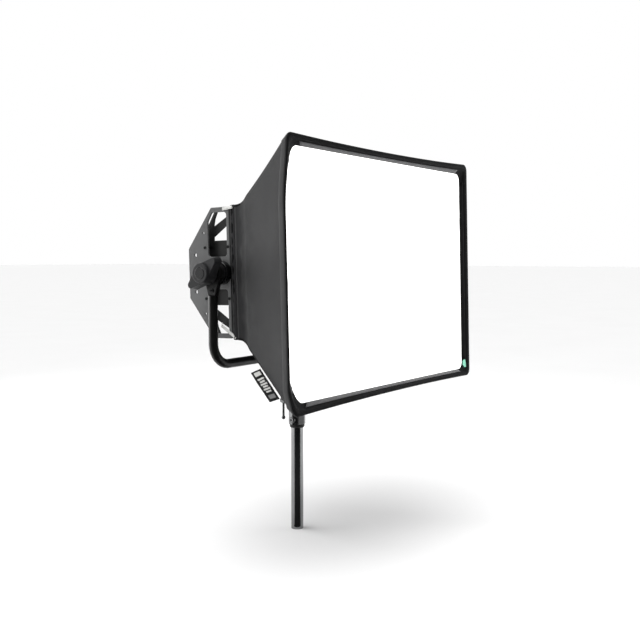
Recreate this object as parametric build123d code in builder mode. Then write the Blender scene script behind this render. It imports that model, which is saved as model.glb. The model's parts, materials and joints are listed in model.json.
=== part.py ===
"""Fabric softbox attachment on a two-foot LED panel light, with its yoke and the top of its stand.

Row frame, millimetres: +Z up, the light shines towards -Y, +X is on the right of someone who faces it.
The origin is the centre of the riser tube's lower end, so the riser is what the rest of a stand holds.
Everything that tilts is built on HEAD, a frame at the tilt axis that leans back by HEAD_LEAN.
"""

import os

from build123d import *

# ---- driving dimensions ------------------------------------------------------------------
TILT_Z = 677.0  # height of the tilt axis above the riser's lower end
HEAD_LEAN = 1.6  # degrees that the head leans back at rest
RUN = 0.3  # gap between faces that move past each other
SHAFT_GAP = 0.05  # radial clearance of a shaft in its bore

# stand top
RISER_R = 16.0
RISER_BORE_R = 14.5
RISER_NECK_R = 15.5  # turned-down end that sits in the ring and the casting
RISER_SHOULDER_Z = 268.0
RISER_TOP_Z = 312.0
RING_Z = 269.0
RING_R = 19.5
CASTING_Z = 278.0
CASTING_TOP_Z = 410.0
CASTING_R = 20.5
CASTING_LIP = 2.5
CASTING_LIP_HEIGHT = 9.0
SOCKET_FLOOR_Z = 317.0
CLAMP_Z = 336.0
CLAMP_R = 5.0
CLAMP_BOSS_R = 11.0
CLAMP_BOSS_REACH = 6.0  # beyond the casting's flat
CLAMP_HANDLE_Y = 44.0
CLAMP_EYE_R = 7.5
CLAMP_EYE_LENGTH = 13.0
HANDLE_R = 3.5
HANDLE_BALL_R = 5.5
HANDLE_LENGTH = 92.0
RETAINER_Z = 291.0
RETAINER_R = 4.0
RETAINER_BOSS_R = 8.5
RETAINER_HEAD_R = 6.0
RETAINER_HEAD_HEIGHT = 3.5
RETAINER_BOSS_X = CASTING_R + 3.0

# pin and yoke
PIN_R = 14.3
PIN_BOTTOM_Z = 320.5
PIN_GROOVE_DEPTH = 3.0
PIN_GROOVE_WIDTH = 16.0
PIN_FLANGE_R = 20.5
PIN_STEM_R = 17.0
YOKE_TUBE_R = 11.0
YOKE_TUBE_WALL = 2.0
YOKE_ARM_X = 333.0
YOKE_BAR_Z = TILT_Z - 213.5
YOKE_BEND_R = 53.0
YOKE_TUBE_TOP_Z = TILT_Z - 52.0
ARM_END_THICK = 11.0
ARM_EYE_R = 26.0
ARM_SCREW_YZ = (-1.0, -40.0)  # from the tilt axis
ARM_SCREW_R = 2.5
ARM_SCREW_HEAD_R = 4.5
ARM_SCREW_HEAD_HEIGHT = 2.6
BLOCK_SIZE = (76.0, 42.0)
BLOCK_Z = (YOKE_BAR_Z - 20.0, YOKE_BAR_Z + 14.0)
BLOCK_BOLT_GRID = (54.0, 28.0)
BLOCK_BOLT_R = 3.0
BLOCK_BOLT_HEAD_R = 5.0
BLOCK_BOLT_HEAD_HEIGHT = 4.0

# tilt pivot and its clamping knobs
STUD_R = 6.0
PIVOT_DISC_R = 28.5
PIVOT_DISC_THICK = 17.0
KNOB_FACE_X = 380.0
KNOB_NECK_R = 17.0
KNOB_NECK_LENGTH = 11.0
KNOB_HUB_R = 26.0
KNOB_WING_R = 53.0
KNOB_TIP_R = 11.0
KNOB_ANGLE = 40.0
KNOB_CAP_R = 14.0
KNOB_CAP_SEAT = 3.0
KNOB_CAP_THICK = 3.8
STUD_DEPTH = 24.0

# light head, in the head's own frame
PLATE_X = 300.0  # outer face of a side plate
PLATE_THICK = 4.0
PLATE_FRONT_Y = -24.0
PLATE_REAR_Y = 102.0
PLATE_TOP_REAR_Y = 30.0
PLATE_HALF_HEIGHT = 152.5
PLATE_REAR_HALF_HEIGHT = 58.4
WINDOW_Y = (-15.5, 40.0)
WINDOW_Z = (38.0, 141.0)
WINDOW_CUT = (13.0, 21.0)
SPACER_YZ = [(-20.0, 60.0), (-20.0, -60.0), (50.0, 60.0), (50.0, -60.0)]
SPACER_R = 3.6
PLATE_SCREW_HEAD_R = 3.4
PLATE_SCREW_HEAD_HEIGHT = 1.4
ACCESSORY_HOLE_R = 4.25
ACCESSORY_HOLE_YZ = (80.0, 43.5)
SMALL_HOLE_R = 2.75
SMALL_HOLE_YZ = (54.0, 95.0)
END_FRAME_X = 285.0  # outer face of the black end frame inside a side plate
END_FRAME_THICK = 3.0
POST_Y = (34.0, 56.0)
BRACE_Z_AT_POST = (84.0, 105.0)
BRACE_Z_AT_FRONT = (118.0, 137.0)
BOX_HALF_WIDTH = 281.0
BOX_HALF_HEIGHT = 75.0
BOX_Y = (-9.0, 94.0)
BOX_WALL = 2.5
BOX_CHAMFER = 16.0
HOUSING_HALF = (298.5, 151.5)
HOUSING_Y = (-60.0, -24.0)
HOUSING_WALL = 3.5
HOUSING_JOINT_Z = 130.0
HOUSING_JOINT_GAP = 0.2
BEZEL_WIDTH = 14.0
BEZEL_THICK = 3.0
LENS_SETBACK = 6.0
LENS_THICK = 3.0
HEAT_SINK_Y = -26.0
HEAT_SINK_SIZE = (560.0, 290.0)
HEAT_SINK_BASE = 6.0
FIN_PITCH = 14.0
FIN_COUNT = 40
FIN_THICK = 2.4
LED_BOARD_SIZE = (552.0, 270.0)
LED_BOARD_THICK = 2.0
LED_PITCH = (44.0, 42.0)
LED_COUNT = (12, 6)
LED_SIZE = (9.0, 9.0, 1.5)
SUPPLY_SIZE = (210.0, 96.0, 52.0)
SUPPLY_X = -130.0
DRIVER_SIZE = (250.0, 100.0, 1.6)
DRIVER_X = 110.0
DRIVER_PART_SIZE = (22.0, 16.0, 14.0)

# controls and sockets on the rear face
BACK_Y = BOX_Y[1]
CONTROL_PANEL_SIZE = (176.0, 104.0)
CONTROL_PANEL_THICK = 2.0
DISPLAY_SIZE = (84.0, 34.0)
DISPLAY_Z = 20.0
ENCODER_X = (-36.0, 0.0, 36.0)
ENCODER_Z = -24.0
ENCODER_SHAFT_R = 3.0
ENCODER_KNOB_R = 10.0
ENCODER_KNOB_HEIGHT = 10.0
ENCODER_FLUTE_R = 0.9
BUTTON_X = (-64.0, 64.0)
BUTTON_Z = 20.0
BUTTON_R = 5.0
DATA_SOCKET_X = (-150.0, -196.0)
DATA_SHELL_R = (12.0, 9.5)
DATA_SHELL_HEIGHT = 6.0
INLET_X = 150.0
INLET_SHELL_R = (15.0, 12.5)
INLET_SHELL_HEIGHT = 9.0
SOCKET_FLANGE_THICK = 2.0
CONTACT_DEPTH = 1.2
SWITCH_X = 200.0
ROCKER_TILT = 6.0
ROCKER_HALF_WIDTH = 8.5
TRUNNION_R = 1.5

# softbox
SLEEVE_IN = (300.5, 153.5)
SLEEVE_WALL = 2.0
SLEEVE_Y = (-58.0, -31.0)
PANEL_THICK = 1.6
HEM_R = 5.0
HOOP_R = 2.5
FRONT_Y = -287.0  # foremost face of the hem
FRONT_SIZE = (856.0, 590.0)
FRONT_DROP = 9.0  # how far the fabric front hangs below the head's centre
HEM_CORNER_R = 16.0
DIFFUSER_Y = -275.0
DIFFUSER_THICK = 1.5
RIB_R = 2.0
RIB_INSET = 7.0
FLAG_SIZE = (113.0, 23.0)
FLAG_ALONG = 0.39  # where the flag starts, as a share of the corner seam
FLAG_TURN = 36.0  # degrees that the flag turns from the bottom panel towards the left one
FLAG_THICK = 0.8
FLAG_GAP = 1.5
TAB_SIZE = (15.0, 31.0)
TAB_TURN = 25.0  # degrees that the tab leans forward from the diffuser
TAB_THICK = 1.0

ARM_FACE_X = YOKE_ARM_X + ARM_END_THICK / 2
HEM_Y = FRONT_Y + HEM_R
SLEEVE_OUT = (SLEEVE_IN[0] + SLEEVE_WALL, SLEEVE_IN[1] + SLEEVE_WALL)
SIDES = {"left": -1, "right": 1}
HEAD = Location((0, 0, TILT_Z), (-HEAD_LEAN, 0, 0))

pieces = {}


# ---- planes and outlines -----------------------------------------------------------------
def outward(side, x):
    """Upright plane through the tilt axis at x that faces away from the head on one side."""
    return Plane(origin=(side * x, 0, TILT_Z), x_dir=(0, side, 0), z_dir=(side, 0, 0))


def on_head(plane):
    """The given plane of the head's own frame, in the row's frame."""
    return Plane(HEAD * plane.location)


def head_side(x):
    """Plane across the head at x: its own x is the head's Y, its own y the head's Z."""
    return on_head(Plane.YZ.offset(x))


def head_front(y):
    """Plane facing the subject at y: its own x is X, its own y the head's Z, its normal -Y."""
    return on_head(Plane.XZ.offset(-y))


def head_back(y):
    """Plane facing the operator at y: its own x is -X, its own y the head's Z, its normal +Y."""
    return on_head(Plane(origin=(0, y, 0), x_dir=(-1, 0, 0), z_dir=(0, 1, 0)))


def face_outline(points, corner_radius=0, rotation=0):
    """Adds the face inside a closed outline, with its corners rounded, to the open sketch."""
    outline = Polygon(*points, rotation=rotation, align=None)
    if corner_radius:
        fillet(outline.vertices(), corner_radius)


def mirrored(points):
    """The same outline below the tilt axis."""
    return [(y, -z) for y, z in points]


def softbox_half(y):
    """Half width and half height of the softbox's outside at y, in the head's frame."""
    share = (SLEEVE_Y[0] - y) / (SLEEVE_Y[0] - FRONT_Y)
    half_width = SLEEVE_OUT[0] + share * (FRONT_SIZE[0] / 2 - SLEEVE_OUT[0])
    half_height = SLEEVE_OUT[1] + share * (FRONT_SIZE[1] / 2 - SLEEVE_OUT[1])
    return half_width, half_height, share * FRONT_DROP


# ---- stand top ---------------------------------------------------------------------------
with BuildPart() as riser_tube:
    with BuildSketch():
        Circle(RISER_R)
        Circle(RISER_BORE_R, mode=Mode.SUBTRACT)
    extrude(amount=RISER_SHOULDER_Z)
    with BuildSketch(Plane.XY.offset(RISER_SHOULDER_Z)):
        Circle(RISER_NECK_R)
        Circle(RISER_BORE_R, mode=Mode.SUBTRACT)
    extrude(amount=RISER_TOP_Z - RISER_SHOULDER_Z)
pieces["riser_tube"] = riser_tube

with BuildPart() as receiver_ring:
    with BuildSketch(Plane.XY.offset(RING_Z)):
        Circle(RING_R)
        Circle(RISER_NECK_R, mode=Mode.SUBTRACT)
    extrude(amount=CASTING_Z - RING_Z)
    bottom_edges = receiver_ring.edges().filter_by(GeomType.CIRCLE).group_by(Axis.Z)[0]
    chamfer(bottom_edges.sort_by(SortBy.RADIUS)[-1], 2.5)
pieces["receiver_ring"] = receiver_ring

with BuildPart() as receiver_casting:
    with BuildSketch(Plane.XY.offset(CASTING_Z)):
        RegularPolygon(CASTING_R, 8, major_radius=False)
    extrude(amount=CASTING_TOP_Z - CASTING_Z)
    with BuildSketch(Plane.XY.offset(CASTING_TOP_Z - CASTING_LIP_HEIGHT)):
        Circle(CASTING_R + CASTING_LIP)
    extrude(amount=CASTING_LIP_HEIGHT)
    chamfer(receiver_casting.edges().filter_by(GeomType.CIRCLE).group_by(Axis.Z)[-1], 1.5)
    with BuildSketch(Plane.XZ.offset(-CASTING_R - CLAMP_BOSS_REACH)):  # boss of the clamp screw, behind
        with Locations((0, CLAMP_Z)):
            Circle(CLAMP_BOSS_R)
    extrude(amount=CASTING_R)
    with BuildSketch(Plane.YZ.offset(-RETAINER_BOSS_X)):  # boss of the tube's retaining screw
        with Locations((0, RETAINER_Z)):
            Circle(RETAINER_BOSS_R)
    extrude(amount=CASTING_R)
    with BuildSketch(Plane.XY.offset(CASTING_TOP_Z)):
        Circle(PIN_R + SHAFT_GAP)
    extrude(amount=SOCKET_FLOOR_Z - CASTING_TOP_Z, mode=Mode.SUBTRACT)
    with BuildSketch(Plane.XY.offset(CASTING_Z)):
        Circle(RISER_NECK_R)
    extrude(amount=RISER_TOP_Z - CASTING_Z, mode=Mode.SUBTRACT)
    with BuildSketch(Plane.XZ.offset(-CASTING_R - CLAMP_BOSS_REACH)):
        with Locations((0, CLAMP_Z)):
            Circle(CLAMP_R + SHAFT_GAP)
    extrude(amount=CASTING_R, mode=Mode.SUBTRACT)
    with BuildSketch(Plane.YZ.offset(-RETAINER_BOSS_X)):
        with Locations((0, RETAINER_Z)):
            Circle(RETAINER_R)
    extrude(amount=RETAINER_BOSS_X - RISER_NECK_R + 1.0, mode=Mode.SUBTRACT)
pieces["receiver_casting"] = receiver_casting

with BuildPart() as retaining_screw:
    with BuildSketch(Plane.YZ.offset(-RETAINER_BOSS_X)):
        with Locations((0, RETAINER_Z)):
            Circle(RETAINER_R)
    extrude(amount=RETAINER_BOSS_X - RISER_NECK_R - 0.5)
    with BuildSketch(Plane.YZ.offset(-RETAINER_BOSS_X)):
        with Locations((0, RETAINER_Z)):
            Circle(RETAINER_HEAD_R)
    extrude(amount=-RETAINER_HEAD_HEIGHT)
    with BuildSketch(Plane.YZ.offset(-RETAINER_BOSS_X - RETAINER_HEAD_HEIGHT)):
        with Locations((0, RETAINER_Z)):
            RegularPolygon(3.2, 6)
    extrude(amount=3.0, mode=Mode.SUBTRACT)
pieces["retaining_screw"] = retaining_screw

with BuildPart() as clamp_screw:
    with BuildSketch(Plane.XZ.offset(-CLAMP_HANDLE_Y)):
        with Locations((0, CLAMP_Z)):
            Circle(CLAMP_R)
    extrude(amount=CLAMP_HANDLE_Y - PIN_R + PIN_GROOVE_DEPTH - 0.6)
    with BuildSketch(Plane.XZ.offset(-CLAMP_HANDLE_Y - 6.0)):
        with Locations((0, CLAMP_Z)):
            Circle(CLAMP_EYE_R)
    extrude(amount=CLAMP_EYE_LENGTH)
    with BuildSketch(Plane.XY.offset(CLAMP_Z - PIN_GROOVE_WIDTH / 2)):
        with Locations((0, CLAMP_HANDLE_Y)):
            Circle(HANDLE_R)
    extrude(amount=PIN_GROOVE_WIDTH, mode=Mode.SUBTRACT)
pieces["clamp_screw"] = clamp_screw

with BuildPart() as clamp_handle:
    with BuildSketch(Plane.XY.offset(CLAMP_Z - HANDLE_LENGTH / 2)):
        with Locations((0, CLAMP_HANDLE_Y)):
            Circle(HANDLE_R)
    extrude(amount=HANDLE_LENGTH)
    for end in (-1, 1):
        with Locations((0, CLAMP_HANDLE_Y, CLAMP_Z + end * HANDLE_LENGTH / 2)):
            Sphere(HANDLE_BALL_R)
pieces["clamp_handle"] = clamp_handle


# ---- yoke --------------------------------------------------------------------------------
with BuildPart() as yoke_tube:
    with BuildLine() as yoke_path:
        FilletPolyline(
            (-YOKE_ARM_X, 0, YOKE_TUBE_TOP_Z),
            (-YOKE_ARM_X, 0, YOKE_BAR_Z),
            (YOKE_ARM_X, 0, YOKE_BAR_Z),
            (YOKE_ARM_X, 0, YOKE_TUBE_TOP_Z),
            radius=YOKE_BEND_R,
        )
    with BuildSketch(Plane(origin=(-YOKE_ARM_X, 0, YOKE_TUBE_TOP_Z), z_dir=(0, 0, -1))):
        Circle(YOKE_TUBE_R)
        Circle(YOKE_TUBE_R - YOKE_TUBE_WALL, mode=Mode.SUBTRACT)
    sweep(path=yoke_path.line)
pieces["yoke_tube"] = yoke_tube

with BuildPart() as pin_block:
    with BuildSketch(Plane.XY.offset(BLOCK_Z[0])):
        RectangleRounded(*BLOCK_SIZE, 6.0)
    extrude(amount=BLOCK_Z[1] - BLOCK_Z[0])
    chamfer(pin_block.edges().group_by(Axis.Z)[-1], 2.0)
    with BuildSketch(Plane.YZ.offset(-BLOCK_SIZE[0] / 2)):
        with Locations((0, YOKE_BAR_Z)):
            Circle(YOKE_TUBE_R)
    extrude(amount=BLOCK_SIZE[0], mode=Mode.SUBTRACT)
    with BuildSketch(Plane.XY.offset(BLOCK_Z[1])):
        with GridLocations(*BLOCK_BOLT_GRID, 2, 2):
            Circle(BLOCK_BOLT_R)
    extrude(amount=BLOCK_Z[0] - BLOCK_Z[1], mode=Mode.SUBTRACT)
pieces["pin_block"] = pin_block

with BuildPart() as block_bolts:
    with BuildSketch(Plane.XY.offset(BLOCK_Z[0])):
        with GridLocations(*BLOCK_BOLT_GRID, 2, 2):
            Circle(BLOCK_BOLT_R)
    extrude(amount=BLOCK_Z[1] - BLOCK_Z[0])
    with BuildSketch(Plane.XY.offset(BLOCK_Z[1])):
        with GridLocations(*BLOCK_BOLT_GRID, 2, 2):
            Circle(BLOCK_BOLT_HEAD_R)
    extrude(amount=BLOCK_BOLT_HEAD_HEIGHT)
    with BuildSketch(Plane.XY.offset(BLOCK_Z[1] + BLOCK_BOLT_HEAD_HEIGHT)):
        with GridLocations(*BLOCK_BOLT_GRID, 2, 2):
            RegularPolygon(2.9, 6)
    extrude(amount=-2.5, mode=Mode.SUBTRACT)
pieces["block_bolts"] = block_bolts

with BuildPart() as spigot_pin:
    with BuildSketch(Plane.XY.offset(CASTING_TOP_Z + RUN)):
        Circle(PIN_STEM_R)
    extrude(amount=BLOCK_Z[0] - CASTING_TOP_Z - RUN)
    with BuildSketch(Plane.XY.offset(CASTING_TOP_Z + RUN)):
        Circle(PIN_FLANGE_R)
    extrude(amount=7.0)
    with BuildSketch(Plane.XY.offset(CASTING_TOP_Z + RUN)):
        Circle(PIN_R)
    extrude(amount=PIN_BOTTOM_Z - CASTING_TOP_Z - RUN)
    chamfer(spigot_pin.edges().filter_by(GeomType.CIRCLE).group_by(Axis.Z)[0], 2.0)
    with BuildSketch(Plane.XY.offset(CLAMP_Z - PIN_GROOVE_WIDTH / 2)):  # clamp screw's groove
        Circle(PIN_R)
        Circle(PIN_R - PIN_GROOVE_DEPTH, mode=Mode.SUBTRACT)
    extrude(amount=PIN_GROOVE_WIDTH, mode=Mode.SUBTRACT)
pieces["spigot_pin"] = spigot_pin


def make_arm_end(side):
    """Forged eye on top of a yoke arm, with the bore that the clamping stud passes through."""
    neck_z = YOKE_TUBE_TOP_Z - TILT_Z
    with BuildPart() as arm_end:
        with BuildSketch(outward(side, YOKE_ARM_X - ARM_END_THICK / 2)):
            Circle(ARM_EYE_R)
            face_outline(
                [
                    (-ARM_EYE_R * 0.93, -9.0),
                    (-YOKE_TUBE_R, neck_z),
                    (YOKE_TUBE_R, neck_z),
                    (ARM_EYE_R * 0.93, -9.0),
                ]
            )
        extrude(amount=ARM_END_THICK)
        chamfer(arm_end.faces().sort_by(Axis.X)[-1 if side > 0 else 0].edges(), 1.5)
        with BuildSketch(outward(side, YOKE_ARM_X - ARM_END_THICK / 2)):
            Circle(STUD_R + SHAFT_GAP)
            with Locations((side * ARM_SCREW_YZ[0], ARM_SCREW_YZ[1])):
                Circle(ARM_SCREW_R)
        extrude(amount=ARM_END_THICK, mode=Mode.SUBTRACT)
    return arm_end


for name, side in SIDES.items():
    pieces[f"arm_end_{name}"] = make_arm_end(side)

WASHER_X = PLATE_X + PIVOT_DISC_THICK + RUN
with BuildPart() as friction_washers:
    for side in SIDES.values():
        with BuildSketch(outward(side, WASHER_X)):
            Circle(ARM_EYE_R - 2.0)
            Circle(STUD_R + SHAFT_GAP, mode=Mode.SUBTRACT)
        extrude(amount=YOKE_ARM_X - ARM_END_THICK / 2 - WASHER_X)
pieces["friction_washers"] = friction_washers

with BuildPart() as arm_screws:
    for side in SIDES.values():
        screw_at = (side * ARM_SCREW_YZ[0], ARM_SCREW_YZ[1])
        with BuildSketch(outward(side, YOKE_ARM_X - ARM_END_THICK / 2)):
            with Locations(screw_at):
                Circle(ARM_SCREW_R)
        extrude(amount=ARM_END_THICK)
        with BuildSketch(outward(side, ARM_FACE_X)):
            with Locations(screw_at):
                Circle(ARM_SCREW_HEAD_R)
        extrude(amount=ARM_SCREW_HEAD_HEIGHT)
        with BuildSketch(outward(side, ARM_FACE_X + ARM_SCREW_HEAD_HEIGHT)):
            with Locations(screw_at):
                RegularPolygon(2.3, 6)
        extrude(amount=-2.0, mode=Mode.SUBTRACT)
pieces["arm_screws"] = arm_screws


# ---- clamping knobs ----------------------------------------------------------------------
KNOB_NECK_X = ARM_FACE_X + RUN
KNOB_BODY_X = KNOB_NECK_X + KNOB_NECK_LENGTH


def make_knob(side):
    """Moulded two-winged knob: neck, hub and wings."""
    face_depth = KNOB_FACE_X - KNOB_BODY_X
    with BuildPart() as knob:
        with BuildSketch(outward(side, KNOB_NECK_X)):
            Circle(KNOB_NECK_R)
        extrude(amount=KNOB_NECK_LENGTH)
        with BuildSketch(outward(side, KNOB_BODY_X)):
            Circle(KNOB_HUB_R)
        extrude(amount=face_depth, taper=7.0)
        with BuildSketch(outward(side, KNOB_BODY_X + 3.0)):
            Circle(KNOB_HUB_R - 1.0)
            with PolarLocations(KNOB_WING_R - KNOB_TIP_R, 2, KNOB_ANGLE):
                Circle(KNOB_TIP_R)
            make_hull()
        extrude(amount=face_depth - 9.0, taper=9.0)
        outer_face = knob.faces().sort_by(Axis.X)[-1 if side > 0 else 0]
        fillet(outer_face.edges(), 2.5)
        with BuildSketch(outward(side, KNOB_NECK_X)):
            Circle(STUD_R)
        extrude(amount=STUD_DEPTH, mode=Mode.SUBTRACT)
        with BuildSketch(outward(side, KNOB_FACE_X)):
            Circle(KNOB_CAP_R)
        extrude(amount=-KNOB_CAP_SEAT, mode=Mode.SUBTRACT)
    return knob


def make_knob_cap(side):
    """Plain cap that closes the knob's hub."""
    with BuildPart() as cap:
        with BuildSketch(outward(side, KNOB_FACE_X - KNOB_CAP_SEAT)):
            Circle(KNOB_CAP_R)
        extrude(amount=KNOB_CAP_THICK)
        fillet(cap.faces().sort_by(Axis.X)[-1 if side > 0 else 0].edges(), 1.4)
    return cap


def make_stud(side):
    """Steel stud moulded into the knob; its end threads into the head's pivot disc."""
    with BuildPart() as stud:
        with BuildSketch(outward(side, PLATE_X + 2.0)):
            Circle(STUD_R)
        extrude(amount=KNOB_NECK_X + STUD_DEPTH - PLATE_X - 2.0)
    return stud


for name, side in SIDES.items():
    pieces[f"tilt_knob_{name}"] = make_knob(side)
    pieces[f"knob_cap_{name}"] = make_knob_cap(side)
    pieces[f"tilt_stud_{name}"] = make_stud(side)


# ---- light head: cage --------------------------------------------------------------------
def make_side_plate(side):
    """Aluminium cage plate with two windows and its accessory holes."""
    window = [
        (WINDOW_Y[0], WINDOW_Z[0]),
        (WINDOW_Y[0], WINDOW_Z[1]),
        (WINDOW_Y[1] - WINDOW_CUT[0], WINDOW_Z[1]),
        (WINDOW_Y[1], WINDOW_Z[1] - WINDOW_CUT[1]),
        (WINDOW_Y[1], WINDOW_Z[0]),
    ]
    with BuildPart() as plate:
        with BuildSketch(head_side(side * PLATE_X)):
            face_outline(
                [
                    (PLATE_FRONT_Y, -PLATE_HALF_HEIGHT),
                    (PLATE_TOP_REAR_Y, -PLATE_HALF_HEIGHT),
                    (PLATE_REAR_Y, -PLATE_REAR_HALF_HEIGHT),
                    (PLATE_REAR_Y, PLATE_REAR_HALF_HEIGHT),
                    (PLATE_TOP_REAR_Y, PLATE_HALF_HEIGHT),
                    (PLATE_FRONT_Y, PLATE_HALF_HEIGHT),
                ],
                3.0,
            )
        extrude(amount=-side * PLATE_THICK)
        with BuildSketch(head_side(side * PLATE_X)):
            face_outline(window, 8.0)
            face_outline(mirrored(window), 8.0)
        extrude(amount=-side * PLATE_THICK, mode=Mode.SUBTRACT)
        chamfer(plate.faces().sort_by(Axis.X)[-1 if side > 0 else 0].edges(), 1.2)
        with BuildSketch(head_side(side * PLATE_X)):
            with Locations(SMALL_HOLE_YZ, (SMALL_HOLE_YZ[0], -SMALL_HOLE_YZ[1])):
                Circle(SMALL_HOLE_R)
            with Locations(ACCESSORY_HOLE_YZ, (ACCESSORY_HOLE_YZ[0], -ACCESSORY_HOLE_YZ[1])):
                Circle(ACCESSORY_HOLE_R)
        extrude(amount=-side * PLATE_THICK, mode=Mode.SUBTRACT)
    return plate


def make_end_frame(side):
    """Black frame inside the side plate: front rail, rear post and two braces, closed at its middle."""
    front_y = PLATE_FRONT_Y
    rail_y = front_y + 7.0
    top_z = PLATE_HALF_HEIGHT - 3.5
    shoulder_z = top_z - 44.0
    upper_gap = [
        (rail_y, BRACE_Z_AT_FRONT[1]),
        (rail_y, top_z - 6.0),
        (POST_Y[0] - 12.0, top_z - 6.0),
        (POST_Y[0] - 4.0, shoulder_z + 22.0),
        (POST_Y[0], BRACE_Z_AT_POST[1] + 4.0),
    ]
    lower_gap = [
        (rail_y, BOX_HALF_HEIGHT + 1.0),
        (rail_y, BRACE_Z_AT_FRONT[0]),
        (POST_Y[0], BRACE_Z_AT_POST[0]),
        (POST_Y[0], BOX_HALF_HEIGHT + 1.0),
    ]
    with BuildPart() as frame:
        with BuildSketch(head_side(side * END_FRAME_X)):
            face_outline(
                [
                    (front_y, -top_z),
                    (POST_Y[0] - 6.0, -top_z),
                    (POST_Y[1], -shoulder_z),
                    (POST_Y[1], shoulder_z),
                    (POST_Y[0] - 6.0, top_z),
                    (front_y, top_z),
                ]
            )
        extrude(amount=-side * END_FRAME_THICK)
        with BuildSketch(head_side(side * END_FRAME_X)):
            for gap in (upper_gap, lower_gap, mirrored(upper_gap), mirrored(lower_gap)):
                face_outline(gap)
        extrude(amount=-side * END_FRAME_THICK, mode=Mode.SUBTRACT)
    return frame


def make_pivot_disc(side):
    """Round boss on the side plate that the yoke arm clamps against."""
    with BuildPart() as disc:
        with BuildSketch(outward(side, PLATE_X)):
            Circle(PIVOT_DISC_R)
        extrude(amount=PIVOT_DISC_THICK)
        fillet(disc.faces().sort_by(Axis.X)[-1 if side > 0 else 0].edges(), 3.0)
        with BuildSketch(outward(side, PLATE_X + PIVOT_DISC_THICK)):
            Circle(STUD_R + SHAFT_GAP)
        extrude(amount=1.5 - PIVOT_DISC_THICK, mode=Mode.SUBTRACT)
    return disc


for name, side in SIDES.items():
    pieces[f"side_plate_{name}"] = make_side_plate(side)
    pieces[f"end_frame_{name}"] = make_end_frame(side)
    pieces[f"pivot_disc_{name}"] = make_pivot_disc(side)

with BuildPart() as plate_spacers:
    for side in SIDES.values():
        with BuildSketch(head_side(side * END_FRAME_X)):
            with Locations(*SPACER_YZ):
                Circle(SPACER_R)
        extrude(amount=side * (PLATE_X - PLATE_THICK - END_FRAME_X))
pieces["plate_spacers"] = plate_spacers

with BuildPart() as plate_screws:
    for side in SIDES.values():
        with BuildSketch(head_side(side * PLATE_X)):
            with Locations(*SPACER_YZ):
                Circle(PLATE_SCREW_HEAD_R)
        extrude(amount=side * PLATE_SCREW_HEAD_HEIGHT)
        with BuildSketch(head_side(side * (PLATE_X + PLATE_SCREW_HEAD_HEIGHT))):
            with Locations(*SPACER_YZ):
                RegularPolygon(1.7, 6)
        extrude(amount=-side * 1.0, mode=Mode.SUBTRACT)
pieces["plate_screws"] = plate_screws


# ---- light head: optics ------------------------------------------------------------------
TRAY_SIZE = (
    2 * (HOUSING_HALF[0] - HOUSING_WALL - 1.0),
    2 * (HOUSING_HALF[1] - HOUSING_WALL - 1.0),
)

with BuildPart() as front_housing:
    with BuildSketch(head_front(HOUSING_Y[1])):
        Rectangle(2 * HOUSING_HALF[0], 2 * HOUSING_HALF[1])
        Rectangle(
            2 * (HOUSING_HALF[0] - HOUSING_WALL),
            2 * (HOUSING_HALF[1] - HOUSING_WALL),
            mode=Mode.SUBTRACT,
        )
    extrude(amount=HOUSING_Y[1] - HOUSING_Y[0])
    with BuildSketch(head_front(HOUSING_Y[0])):
        Rectangle(2 * HOUSING_HALF[0], 2 * HOUSING_HALF[1])
        Rectangle(
            2 * (HOUSING_HALF[0] - BEZEL_WIDTH),
            2 * (HOUSING_HALF[1] - BEZEL_WIDTH),
            mode=Mode.SUBTRACT,
        )
    extrude(amount=-BEZEL_THICK)
    with BuildSketch(head_side(-HOUSING_HALF[0])):  # butt joints of the two side rails
        with Locations(*[(sum(HOUSING_Y) / 2, sign * HOUSING_JOINT_Z) for sign in (-1, 1)]):
            Rectangle(2 * (HOUSING_Y[1] - HOUSING_Y[0]), HOUSING_JOINT_GAP)
    extrude(amount=2 * HOUSING_HALF[0], mode=Mode.SUBTRACT)
pieces["front_housing"] = front_housing

with BuildPart() as lens_panel:
    with BuildSketch(head_front(HOUSING_Y[0] + LENS_SETBACK)):
        Rectangle(*TRAY_SIZE)
    extrude(amount=LENS_THICK)
pieces["lens_panel"] = lens_panel

with BuildPart() as heat_sink:
    with BuildSketch(head_back(HEAT_SINK_Y)):
        Rectangle(*HEAT_SINK_SIZE)
    extrude(amount=HEAT_SINK_BASE)
    with BuildSketch(head_back(HEAT_SINK_Y + HEAT_SINK_BASE)):
        with GridLocations(FIN_PITCH, 0, FIN_COUNT, 1):
            Rectangle(FIN_THICK, HEAT_SINK_SIZE[1] - 6.0)
    extrude(amount=BOX_Y[0] - HEAT_SINK_Y - HEAT_SINK_BASE)
pieces["heat_sink"] = heat_sink

with BuildPart() as led_board:
    with BuildSketch(head_front(HEAT_SINK_Y)):
        Rectangle(*LED_BOARD_SIZE)
    extrude(amount=LED_BOARD_THICK)
pieces["led_board"] = led_board

with BuildPart() as led_chips:
    with BuildSketch(head_front(HEAT_SINK_Y - LED_BOARD_THICK)):
        with GridLocations(*LED_PITCH, *LED_COUNT):
            Rectangle(*LED_SIZE[:2])
    extrude(amount=LED_SIZE[2])
pieces["led_chips"] = led_chips


# ---- light head: electronics box ---------------------------------------------------------
def box_profile(wall):
    """Side outline of the electronics box, drawn in by wall on every face but the open front."""
    rear_y = BOX_Y[1] - wall
    half_height = BOX_HALF_HEIGHT - wall
    return [
        (BOX_Y[0], -half_height),
        (rear_y - BOX_CHAMFER, -half_height),
        (rear_y, -half_height + BOX_CHAMFER),
        (rear_y, half_height - BOX_CHAMFER),
        (rear_y - BOX_CHAMFER, half_height),
        (BOX_Y[0], half_height),
    ]


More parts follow.
